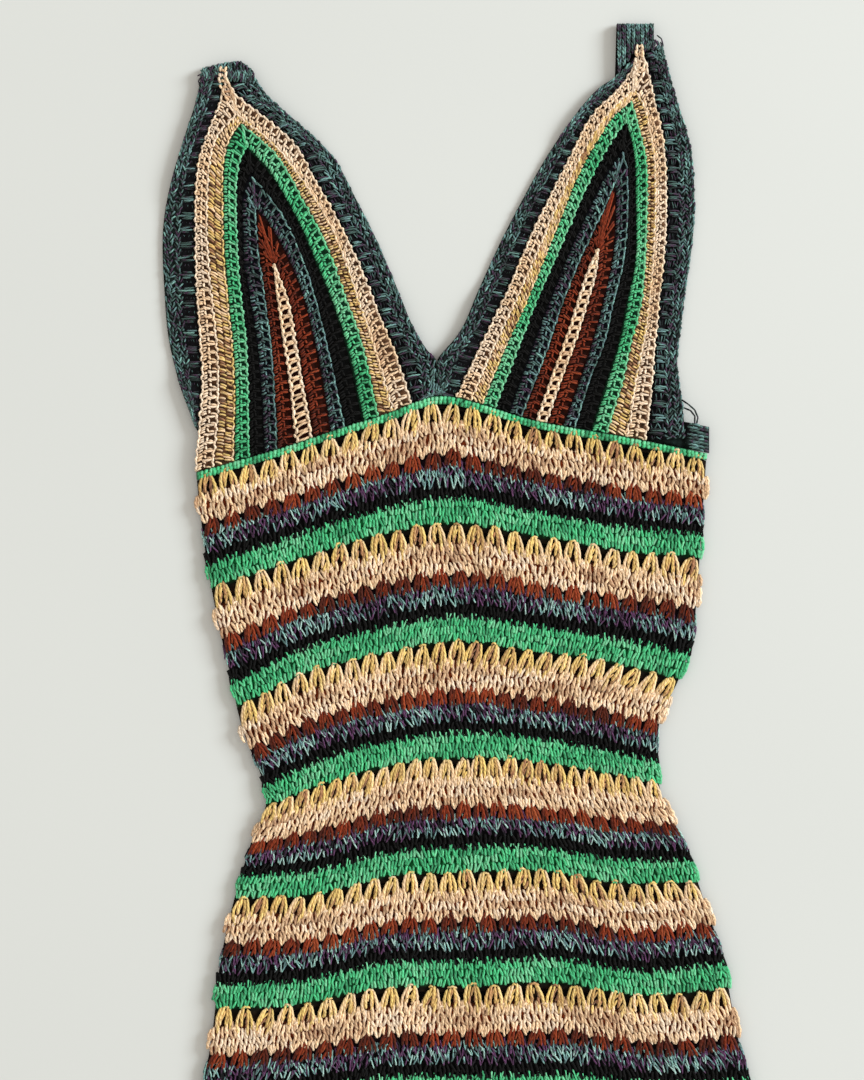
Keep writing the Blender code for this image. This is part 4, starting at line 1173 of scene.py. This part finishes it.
# Rows of a cup from outside inwards: yarn, posts, whether a chain runs along its left and right
# side, how far its dyes and painted shading stray, how far the stitches stray, what all of its
# dyes and painted shading are raised by, rings of a length of yarn, and how mottled it is
CupRow = namedtuple("CupRow", "yarn posts left_chain right_chain drift shake dye rings mottle")
CUP_ROWS = [
    CupRow("cream", CUP_POSTS, True, True, 0.25, (0.05, 0.06), 0.15, 3, 0.15),
    CupRow("yellow", SLANTED_POSTS, False, False, 0.22, (0.06, 0.12), -0.12, 3, 0.4),
    CupRow("green", CUP_POSTS, False, True, 0.25, (0.05, 0.06), 0.1, 3, 0.15),
    CupRow("black", CUP_POSTS, False, False, 0.3, (0.05, 0.06), 0.0, 2, 0.15),
    CupRow("rib", CUP_POSTS, False, True, 0.12, (0.06, 0.10), -0.02, 2, 0.4),
    CupRow("rust", CUP_POSTS, False, False, 0.15, (0.05, 0.06), -0.20, 2, 0.15),
]
# Colour of the inner cloth under each row, in shade
CUP_SHADES = [("tan", 0.30), ("tan", 0.36), ("green", 0.11), ("black", 0.5), ("navy", 0.4),
              ("rust", 0.10)]
SHADE_EDGE = 0.08


def cup_ground(scene):
    """Inner layer of the cups: each row's own colour in shade."""
    tints = tints_of(scene)
    stops = []
    for i, (key, shade) in enumerate(CUP_SHADES):
        for edge in (SHADE_EDGE, 1 - SHADE_EDGE):
            stops.append(((i + edge) / len(CUP_SHADES), dark(tints[key], shade)))
    return made_of("cup_ground", lambda: shaded_ground("cup_inner_layer", stops))


def make_cup(scene, name, cup, seed):
    """One cup: its cloth and the stitches of each yarn."""
    cloth = cup_cloth(cup, name, cup_ground(scene))
    pitch = millimetres(scene.dress_sizes.cup_pitch)
    yarn = yarns(scene)
    made = []
    for i, row in enumerate(CUP_ROWS):
        sewn = Yarn(seed + i, row.rings, row.mottle)
        stitches = row.posts + LEFT_CHAIN * row.left_chain + RIGHT_CHAIN * row.right_chain
        stitches = [strand._replace(dye=strand.dye + row.dye) for strand in stitches]
        for leg, template in enumerate((stitches, other_leg(stitches))):
            count, place = cup.row(leg, i).places(pitch)
            sewn.sew(template, place, count, row.shake, row.drift, (0.0, 0.05))
        if row.yarn == "cream":
            count, place = cup.core().places(pitch)
            sewn.sew(CORE_STITCH, place, count, (0.03, 0.04))
        piece = sewn.mesh(f"{name}_{row.yarn}_rows", yarn[row.yarn])
        made.append(enter(piece, name))
    return cloth, made


# Band stitches: u from the cup's edge to the free edge, v in pitches along the band
LADDER = [
    Strand(0.04, -0.24, 0.5, 0.46, -0.12, 0.6, 0.4, 1.3, 0.34),
    Strand(0.10, -0.10, 0.6, 0.54, 0.02, 0.7, 0.3, 1.3, 0.62),
    Strand(0.03, 0.04, 0.6, 0.44, 0.12, 0.7, 0.4, 1.3, 0.46),
    Strand(0.12, 0.18, 0.5, 0.50, 0.24, 0.6, 0.2, 1.2, 0.30),
] + [Strand(u, 0.26, -0.2, u, 0.72, -0.2, 0.0, 0.7, dye)
     for u, dye in ((0.10, 0.40), (0.20, 0.32), (0.30, 0.40), (0.39, 0.32))]
TWISTED_EDGE = [
    Strand(0.46, -0.9, 0.2, 0.56, 0.6, 0.6, 0.3, 1.25, 0.55),
    Strand(0.66, -0.8, 0.6, 0.55, 0.7, 0.6, 0.3, 1.25, 0.40),
    Strand(0.68, -0.8, 0.6, 0.80, 0.6, 0.5, 0.3, 1.25, 0.62),
    Strand(0.90, -0.8, 0.4, 0.79, 0.7, 0.5, 0.3, 1.25, 0.50),
    Strand(0.97, -0.9, 0.0, 0.93, 0.6, 0.4, 0.3, 1.35, 0.60),
]
TWIST_PITCH = 2.7
BAND_STEPS = 120
BAND_COLUMNS = 9
BAND_DEPTH = 1.0
FREE_EDGE_DROP = 0.5
# A bar of a neck band ends this much higher on the free edge, and the last one on the mitre less
BAR_RISE = 7.0
LAST_BAR_RISE = 0.6

# A band along a cup's edge: which way the cup lies, the free edge, how far down the band starts
# and ends on both edges, the mitre's foot and top as (x, down), the yarn's seed, the flat size
Band = namedtuple("Band", "name inward free inner_span outer_span sags mitre seed flat")


def leg_x(edge, inward, offset, down):
    """x of a line that runs this far inside a cup's edge."""
    return edge.at(down) + inward * offset * np.hypot(1, edge.slope(down))


def rib_ground():
    """Inner layer of the ribs."""
    return made_of("rib_ground", lambda: shaded_ground("rib_inner_layer", coloured(RIB_STOPS)))


def between(span, share):
    """Value at a share of the way from the first of two values to the second."""
    return span[0] + (span[1] - span[0]) * share


def band_strip(edge, band):
    """The strip of a band, from the cup's edge to the free edge, with its sag to the floor."""
    free = edge_curve(band.free)
    share = np.linspace(0, 1, BAND_STEPS)
    down = between(band.inner_span, share)
    out_down = between(band.outer_span, share)
    out_x = free.at(out_down)
    if band.mitre:
        # The bars stand square to the band, and past the neck's point they end on the mitre
        foot, top = band.mitre
        point = band.outer_span[1]
        out_down = np.maximum(down - BAR_RISE, band.outer_span[0])
        out_x = np.where(out_down < point, free.at(out_down), np.interp(
            out_down, [point, top[1], foot[1]], [float(free.at(point)), top[0], foot[0]]))
    low_face = FRONT_FACE - FREE_EDGE_DROP
    first = np.stack([leg_x(edge, band.inward, -SEAM_GAP, down), down,
                      np.full(BAND_STEPS, FRONT_FACE)], -1)
    second = np.stack([out_x, out_down, np.full(BAND_STEPS, low_face)], -1)
    if band.mitre:
        first = np.concatenate([first, [(*foot, FRONT_FACE)]])
        second = np.concatenate([second, [(foot[0], foot[1] - LAST_BAR_RISE, low_face)]])
        share = np.concatenate([share, [1]])
        out_down = second[:, 1]
    start, end = band.outer_span
    sags = [smooth_step(part, *band.sags[:2]) * (1 - smooth_step(part, *band.sags[2:]))
            for part in (share, (out_down - start) / (end - start))]
    return Ribbon(first, second, sags)


def make_band(scene, edge, band):
    """Ribbed band along one edge of a cup: its cloth, ladder bars and twisted edge."""
    strip = band_strip(edge, band)
    cloth = strip.cloth(band.name + "_cloth", rib_ground(), BAND_DEPTH, BAND_STEPS, BAND_COLUMNS)
    enter(cloth, band.name)
    marl = Yarn(band.seed, mottle=0.5)
    count, place = strip.places(millimetres(scene.dress_sizes.bar_pitch))
    marl.sew(LADDER, place, count, (0.07, 0.05), 0.15, (0.0, 0.1))
    count, place = strip.places(TWIST_PITCH)
    marl.sew(TWISTED_EDGE, place, count, (0.06, 0.45), 0.1)
    stitches = marl.mesh(band.name + "_stitches", yarns(scene)["rib"])
    return cloth, [enter(stitches, band.name)]


class DRESS_OT_make_body(bpy.types.Operator):
    """Build the striped front and back, and the stitches of the front"""

    bl_idname = "dress.make_body"
    bl_label = "Body"

    def execute(self, context):
        ground = made_of("body_ground", lambda: shaded_ground(
            "striped_inner_layer", coloured(GROUND_STOPS), True))
        back_ground = made_of("back_ground", lambda: shaded_ground(
            "back_inner_layer", coloured(BACK_STOPS), True))
        front = make_front_cloth(ground)
        back = make_back_cloth(back_ground)
        stitches = body_stitches(context.scene)
        return {"FINISHED"}


# Seam row stitches: u from the row's top to its foot
SEAM_PADS = [
    Strand(0.00, 0.28, 0.4, 0.62, -0.12, 0.8, 0.0, 3.0, 0.55),
    Strand(0.40, 0.28, 0.6, 1.0, -0.12, 0.4, 0.0, 3.0, 0.42),
]
SEAM_PAD_PITCH = 3.0
SEAM_STEPS = 121
SEAM_COLUMNS = 5
SEAM_SHADES = (0.2, 0.35, 0.2)


class DRESS_OT_make_seam_row(bpy.types.Operator):
    """Build the green row over the seam under the bust"""

    bl_idname = "dress.make_seam_row"
    bl_label = "Seam row under the bust"

    def execute(self, context):
        across = np.linspace(-1, 1, SEAM_STEPS)
        edges = []
        for repeat in (-TRIM_HALF, TRIM_HALF):
            x, down, _ = row_place(repeat, across)
            edges.append(np.stack([x, down, np.full(len(x), FRONT_FACE + CUP_RISE)], -1))
        strip = Ribbon(*edges)
        green = list(context.scene.dress_colours.green)
        ground = made_of("seam_ground", lambda: shaded_ground(
            "green_inner_layer", evenly([dark(green, share) for share in SEAM_SHADES])))
        cloth = strip.cloth("underbust_trim_cloth", ground, CLOTH_DEPTH, SEAM_STEPS,
                            SEAM_COLUMNS)
        enter(cloth, "underbust_trim")
        yarn = Yarn(31, mottle=0.25)
        count, place = strip.places(SEAM_PAD_PITCH)
        yarn.sew(SEAM_PADS, place, count, (0.06, 0.3), 0.3)
        stitches = yarn.mesh("underbust_trim_stitches", yarns(context.scene)["green"])
        enter(stitches, "underbust_trim")
        return {"FINISHED"}


def dress_cups():
    """Both cups of the dress."""
    left = Cup(CUP_LEFT_OUTER, CUP_LEFT_INNER, LEFT_CUP_LEFT_LEG, LEFT_CUP_RIGHT_LEG)
    right = Cup(CUP_RIGHT_INNER, CUP_RIGHT_OUTER, RIGHT_CUP_LEFT_LEG, RIGHT_CUP_RIGHT_LEG)
    return left, right


class DRESS_OT_make_cups(bpy.types.Operator):
    """Build both cups, row by row"""

    bl_idname = "dress.make_cups"
    bl_label = "Cups"

    def execute(self, context):
        left, right = dress_cups()
        for name, cup, seed in (("cup_left", left, 41), ("cup_right", right, 51)):
            cloth, stitches = make_cup(context.scene, name, cup, seed)
        return {"FINISHED"}


class DRESS_OT_make_bands(bpy.types.Operator):
    """Build the ribbed bands of the neck and the armholes"""

    bl_idname = "dress.make_bands"
    bl_label = "Neck and armhole bands"

    def execute(self, context):
        left, right = dress_cups()
        outer_left, inner_left = left.edges
        inner_right, outer_right = right.edges
        seam = float(row_down_at(PEAK_X, -BODY_START)) - SEAM_GAP
        low_left, low_inner, low_outer = (
            foot_of(edge) - SEAM_GAP for edge in (inner_left, inner_right, outer_right))
        bands = (
            (inner_left, Band(
                "neck_band_left", -1, NECK_LEFT_FREE, (39.5, low_left), (38.6, 236.0),
                NECK_SAGS, ((PEAK_X - 0.2, seam), (PEAK_X + 1.7, 241.8)), 61, (0.020, 0.28))),
            (inner_right, Band(
                "neck_band_right", 1, NECK_RIGHT_FREE, (19.0, low_inner), (38.6, 234.0),
                NECK_SAGS, ((PEAK_X + 0.2, seam), (PEAK_X + 2.1, 241.8)), 62, (0.020, 0.28))),
            (outer_left, Band(
                "armhole_band_left", 1, ARM_LEFT_FREE, (39.5, 294.0), (38.6, 290.0), ARM_SAGS,
                None, 63, (0.022, 0.26))),
            (outer_right, Band(
                "armhole_band_right", -1, ARM_RIGHT_FREE, (19.0, low_outer), (16.0, 299.0),
                ARM_SAGS, None, 64, (0.022, 0.29))),
        )
        for edge, band in bands:
            cloth, stitches = make_band(context.scene, edge, band)
        return {"FINISHED"}


# Strap stitches: u across the strap in ribs, v in pitches along it
KNIT_PITCH = 2.8
KNIT_RISE = 0.5
STRAP_RIBS = 8
STRAP_OVERLAP = 2.5
# Height of the middle of the fold, how far the knit stitches reach round it, and the free space
# between a strap's rear end and the top edge of the back
FOLD_MIDDLE = 2.85
FOLD_REACH = 4.5
REAR_END_GAP = 0.7
# Places of the strap cloth's rows of points: behind, round the fold and in front
STRAP_TURNS = np.concatenate([np.linspace(0, 0.98, 40), np.linspace(1, 2, 9),
                              np.linspace(2.05, 3, 16)])
STRAP_COLUMNS = 13
KNIT = [
    Strand(-0.40, -0.9, 0.2, -0.10, 0.8, 0.6, 0.3, 1.35, 0.60),
    Strand(0.40, -0.9, 0.2, 0.10, 0.8, 0.6, -0.3, 1.35, 0.50),
]
# Dashes that hide the join between a strap and the bands: u down the join, v along it
JOIN = [
    Strand(0.00, -0.7, 0.2, 0.50, 0.3, 0.6, 0.3, 1.3, 0.55),
    Strand(0.45, 0.5, 0.6, 0.95, -0.6, 0.4, 0.3, 1.3, 0.40),
    Strand(0.20, 0.6, 0.5, 0.75, -0.2, 0.6, -0.3, 1.3, 0.62),
]
JOIN_PITCH = 1.8
JOIN_HEIGHT = 9.5
JOIN_RISE = 0.1
# Cream chain that ends a cup on its strap: it widens downwards
STRAP_TIP = [
    Strand(0.05, -0.55, 0.6, 0.20, 0.55, 0.6, -0.7, 2.0, 0.8),
    Strand(0.95, -0.55, 0.6, 0.80, 0.55, 0.6, 0.7, 2.0, 0.6),
    Strand(0.20, -0.1, 0.3, 0.80, 0.1, 0.3, 0.0, 1.9, 0.4),
]
TIP_PITCH = 4.6
TIP_RISE = 1.3
TIP_HALF_WIDTH = 1.6
TIP_WIDENS = 1.0
# Thickness of the loose threads
LOOSE_THREAD = 1.1

# A strap: the x of both sides at the fold and behind, how far down its fold and its front end
# lie over its width, the join with the bands, the cream tip, loose threads as (x, down, z)
Strap = namedtuple("Strap", "name sides rear_sides fold front_end join tip loose seed")
STRAPS = (
    Strap("strap_left", (-187.5, -151.5), (-178.0, -150.0), Curve([0, 0.75, 1], [32, 27, 33]),
          Curve([0, 1], [37.6, 37.6]), [(-188.2, 33), (-170, 33), (-149.5, 34)],
          [(-171.2, 31.5), (-172.6, 40), (-169.5, 48), (-166.3, 56)],
          [[(-187.5, 38, 5), (-190.0, 41, 3.5), (-189.0, 45, 2)],
           [(-186.5, 36, 5), (-190.5, 37.5, 4)]], 71),
    Strap("strap_right", (111.6, 138.2), (104.0, 130.0), Curve([0, 1], [0, 0]),
          Curve([0, 0.65, 0.8, 1], [37.0, 16.0, 14.5, 13.5]),
          [(129.5, 12.5), (137.5, 11), (144.5, 14.5)],
          [(127.6, 15.5), (127.2, 23), (128.0, 31), (126.6, 40)],
          [[(140.5, 9, 6.5), (143.6, 11.5, 6.5), (144.8, 16, 6), (143.4, 21, 6), (139.0, 23, 6.5)]],
          72),
)


def strap_at(strap, turn, share, lift):
    """Points of a strap's face: turn runs to 1 behind, to 2 round the fold, to 3 in front."""
    turn, share = np.broadcast_arrays(np.asarray(turn, float), np.asarray(share, float))
    radius = STRAP_THICKNESS + SEAM_GAP
    x = between(strap.sides, share)
    rear_x = between(strap.rear_sides, share)
    centre = strap.fold.at(share) + radius
    rear_end = row_down_at(rear_x, BACK_BAND_TOP) - REAR_END_GAP
    angle = math.pi * np.clip(turn - 1, 0, 1)
    behind = np.clip(1 - turn, 0, 1)
    front = np.clip(turn - 2, 0, None)
    down = centre + (rear_end - centre) * behind - (radius + lift) * np.sin(angle)
    down = down + (strap.front_end.at(share) - centre) * front
    z = FOLD_MIDDLE - (STRAP_THICKNESS + lift) * np.cos(angle)
    return np.stack([x + (rear_x - x) * behind, down, z], -1)


def rib_places(strap, rib):
    """Number of knit stitches on a rib's round and front, and the function that places them."""
    middle = (rib + 0.5) / STRAP_RIBS
    centre = float(strap.fold.at(middle)) + STRAP_THICKNESS + SEAM_GAP
    length = float(strap.front_end.at(middle)) + STRAP_OVERLAP - centre

    def place(index, u, v, z):
        share = np.clip((rib + 0.5 + u) / STRAP_RIBS, 0, 1)
        along = (index + 0.5 + v) * KNIT_PITCH - FOLD_REACH
        turn = np.where(along < 0, 2 + along / (2 * FOLD_REACH), 2 + along / max(length, 1))
        return strap_at(strap, turn, share, z + KNIT_RISE)
    return max(round((length + FOLD_REACH) / KNIT_PITCH), 1), place


def make_strap(scene, strap):
    """Ribbed strap that turns over at the shoulder and runs down behind the cup."""
    grid_turn, grid_share = np.meshgrid(STRAP_TURNS, np.linspace(0, 1, STRAP_COLUMNS),
                                        indexing="ij")
    points = strap_at(strap, grid_turn, grid_share, 0.0)
    cloth = mesh_piece(strap.name + "_cloth", points, grid_faces(*grid_turn.shape), rib_ground(),
                       {"share": grid_share.ravel()})
    thicken(cloth)
    marl = Yarn(strap.seed, mottle=0.45)
    for rib in range(STRAP_RIBS):
        count, place = rib_places(strap, rib)
        marl.sew(KNIT, place, count, (0.08, 0.2), 0.2)
    join = np.array([(x, down, FRONT_FACE + JOIN_RISE) for x, down in strap.join])
    count, place = Ribbon(join, join + (0, JOIN_HEIGHT, 0)).places(JOIN_PITCH)
    marl.sew(JOIN, place, count, (0.12, 0.5), 0.15)
    for loose in strap.loose:
        marl.trail(loose, LOOSE_THREAD, 0.1)
    stitches = marl.mesh(strap.name + "_stitches", yarns(scene)["rib"])
    cream = Yarn(strap.seed + 10)
    tip = np.array([(x, down, FRONT_FACE + TIP_RISE) for x, down in strap.tip])
    wide = np.array([(TIP_HALF_WIDTH + TIP_WIDENS * i, 0, 0) for i in range(len(tip))])
    count, place = Ribbon(tip - wide, tip + wide).places(TIP_PITCH)
    cream.sew(STRAP_TIP, place, count, (0.20, 0.2), 0.4)
    tip_stitches = cream.mesh(strap.name + "_tip_stitches", yarns(scene)["cream"])
    for piece in (cloth, stitches, tip_stitches):
        enter(piece, strap.name)
    return cloth, [stitches, tip_stitches]


class DRESS_OT_make_straps(bpy.types.Operator):
    """Build both straps, folded over at the shoulder"""

    bl_idname = "dress.make_straps"
    bl_label = "Straps"

    def execute(self, context):
        for strap in STRAPS:
            cloth, stitches = make_strap(context.scene, strap)
        return {"FINISHED"}


# Rungs of the rib end: u down its height, v in pitches along it
RUNGS = [Strand(0.05 + 0.128 * i, -0.75, 0.7, 0.05 + 0.128 * i, 0.75, 0.7, 0.3, 1.9, 0.6)
         for i in range(8)]
RUNG_PITCH = 3.6
# Points along the back's low edge, the step up to the rib end, points along that end, how far
# its top and side lie below the front's face, its cloth's depth and grid, and its loose threads
LOW_EDGE_POINTS = 60
RIB_STEP = 0.6
RIB_END_POINTS = 12
RIB_END_DROP = 0.3
RIB_SIDE_DROP = 0.9
BACK_EDGE_DEPTH = 0.6
BACK_EDGE_STEPS = 160
BACK_EDGE_COLUMNS = 7
UNDERARM_THREAD = 1.3
UNDERARM_THREADS = [
    [(158, 271, 5), (163, 274.5, 6), (167.5, 278.5, 6), (169.8, 284, 6.5), (168.5, 290, 6.5)],
    [(160, 277, 5), (164.5, 279, 6), (167.6, 283, 6.5), (167.4, 288, 6.8)],
]


class DRESS_OT_make_back_edge(bpy.types.Operator):
    """Build the ribbed top edge of the back, with its end at the right underarm"""

    bl_idname = "dress.make_back_edge"
    bl_label = "Top edge of the back"

    def execute(self, context):
        left = float(row_place(BACK_BAND_TOP, -1.0)[0]) + SIDE_INSET
        right = float(row_place(BACK_BAND_TOP, 1.0)[0])
        rib_start = right - RIB_END_WIDTH
        xs = np.concatenate([np.linspace(left, rib_start - RIB_STEP, LOW_EDGE_POINTS),
                             np.linspace(rib_start, right, RIB_END_POINTS)])
        tops = np.where(xs < rib_start - RIB_STEP / 2, BACK_THICKNESS, FRONT_FACE - RIB_END_DROP)
        tops[-1] = FRONT_FACE - RIB_SIDE_DROP
        strip = Ribbon(*(np.stack([xs, row_down_at(xs, repeat), tops], -1)
                         for repeat in (BACK_BAND_TOP, BACK_BAND_FOOT)))
        cloth = strip.cloth("back_top_band_cloth", rib_ground(), BACK_EDGE_DEPTH,
                            BACK_EDGE_STEPS, BACK_EDGE_COLUMNS)
        marl = Yarn(81, mottle=0.45)
        count, place = strip.places(RUNG_PITCH, strip.length[LOW_EDGE_POINTS])
        marl.sew(RUNGS, place, count, (0.03, 0.2), 0.2)
        for points in UNDERARM_THREADS:
            marl.trail(points, UNDERARM_THREAD, 0.0)
        stitches = marl.mesh("back_top_band_stitches", yarns(context.scene)["rib"])
        for piece in (cloth, stitches):
            enter(piece, "back_top_band")
        return {"FINISHED"}


class DRESS_OT_make_stage(bpy.types.Operator):
    """Build the pale floor, the soft light and the camera"""

    bl_idname = "dress.make_stage"
    bl_label = "Floor, light and camera"

    def execute(self, context):
        scene = context.scene
        centre = in_frame([(VIEW_X, VIEW_DOWN, 0.0)])[0]
        self.make_floor(scene)
        self.make_camera(scene, centre)
        self.make_lights(scene, centre)
        return {"FINISHED"}

    def make_floor(self, scene):
        """Pale painted board, matt, a little uneven in tone."""
        material, tree, shader = new_material("pale_painted_board")
        place = add_node(tree, "ShaderNodeTexCoord").outputs["Object"]
        mottle = add_node(tree, "ShaderNodeTexNoise",
                          {"Vector": place, "Scale": 1 / (BOARD_PATCH * METRES)})
        tint = add_node(tree, "ShaderNodeValToRGB", {"Fac": mottle.outputs["Fac"]})
        fill_ramp(tint, coloured([(0.3, "D1D3D2"), (0.7, "D5D7D6")]))
        set_inputs(tree, shader, {"Base Color": tint.outputs["Color"], "Roughness": 0.8,
                                  "Specular IOR Level": 0.2})
        data = bpy.data.meshes.new("floor")
        corners = [(x * FLOOR_REACH, y * FLOOR_REACH, 0)
                   for x, y in ((-1, -1), (1, -1), (1, 1), (-1, 1))]
        data.from_pydata(corners, [], [(0, 1, 2, 3)])
        data.materials.append(material)
        floor = bpy.data.objects.new("floor", data)
        scene.collection.objects.link(floor)

    def make_camera(self, scene, centre):
        """Camera straight over the dress, framed as the photograph."""
        camera = bpy.data.cameras.new("camera")
        camera.sensor_width = SENSOR
        camera.lens = SENSOR * CAMERA_HEIGHT / (PICTURE_HEIGHT * PIXEL)
        holder = bpy.data.objects.new("camera", camera)
        holder.location = (centre[0], centre[1], (CAMERA_HEIGHT + FRONT_FACE) * METRES)
        scene.collection.objects.link(holder)
        scene.camera = holder

    def make_lights(self, scene, centre):
        """Large soft window light from the right, and an even pale sky."""
        lamp = bpy.data.lights.new("window_light", "AREA")
        lamp.shape = "SQUARE"
        lamp.size = WINDOW_SIZE
        lamp.energy = WINDOW_POWER
        lamp.color = WINDOW_COLOUR
        holder = bpy.data.objects.new("window_light", lamp)
        right, up, height = WINDOW_PLACE
        holder.location = (centre[0] + right, centre[1] + up, height)
        aim = -holder.location.copy()
        aim.x += centre[0]
        aim.y += centre[1]
        holder.rotation_mode = "QUATERNION"
        holder.rotation_quaternion = aim.to_track_quat("-Z", "Y")
        scene.collection.objects.link(holder)
        world = bpy.data.worlds.new("pale_room")
        world.use_nodes = True
        sky = world.node_tree.nodes["Background"]
        sky.inputs["Color"].default_value = SKY_COLOUR
        sky.inputs["Strength"].default_value = SKY_STRENGTH
        scene.world = world
        scene.view_settings.view_transform = "Standard"


class DRESS_PT_panel(bpy.types.Panel):
    """The dress's pieces, colours and sizes"""

    bl_label = "Crochet dress"
    bl_idname = "DRESS_PT_panel"
    bl_space_type = "VIEW_3D"
    bl_region_type = "UI"
    bl_category = "Crochet dress"

    def draw(self, context):
        for maker in OPERATORS:
            self.layout.operator(maker.bl_idname)
        for group in (context.scene.dress_colours, context.scene.dress_sizes):
            for key in group.__annotations__:
                self.layout.prop(group, key)


OPERATORS = (
    DRESS_OT_make_stage,
    DRESS_OT_make_body,
    DRESS_OT_make_seam_row,
    DRESS_OT_make_cups,
    DRESS_OT_make_bands,
    DRESS_OT_make_straps,
    DRESS_OT_make_back_edge,
)
CLASSES = (DressColours, DressSizes, *OPERATORS, DRESS_PT_panel)


def register():
    """Make the panel, its operators and its settings known."""
    for each in CLASSES:
        bpy.utils.register_class(each)
    bpy.types.Scene.dress_colours = bpy.props.PointerProperty(type=DressColours)
    bpy.types.Scene.dress_sizes = bpy.props.PointerProperty(type=DressSizes)


def unregister():
    """Take the panel, its operators and its settings away again."""
    del bpy.types.Scene.dress_sizes
    del bpy.types.Scene.dress_colours
    for each in reversed(CLASSES):
        bpy.utils.unregister_class(each)


def main():
    """Build the dress and its stage."""
    register()
    bpy.ops.dress.make_stage()
    bpy.ops.dress.make_body()
    bpy.ops.dress.make_seam_row()
    bpy.ops.dress.make_cups()
    bpy.ops.dress.make_bands()
    bpy.ops.dress.make_straps()
    bpy.ops.dress.make_back_edge()


if __name__ == "__main__":
    main()
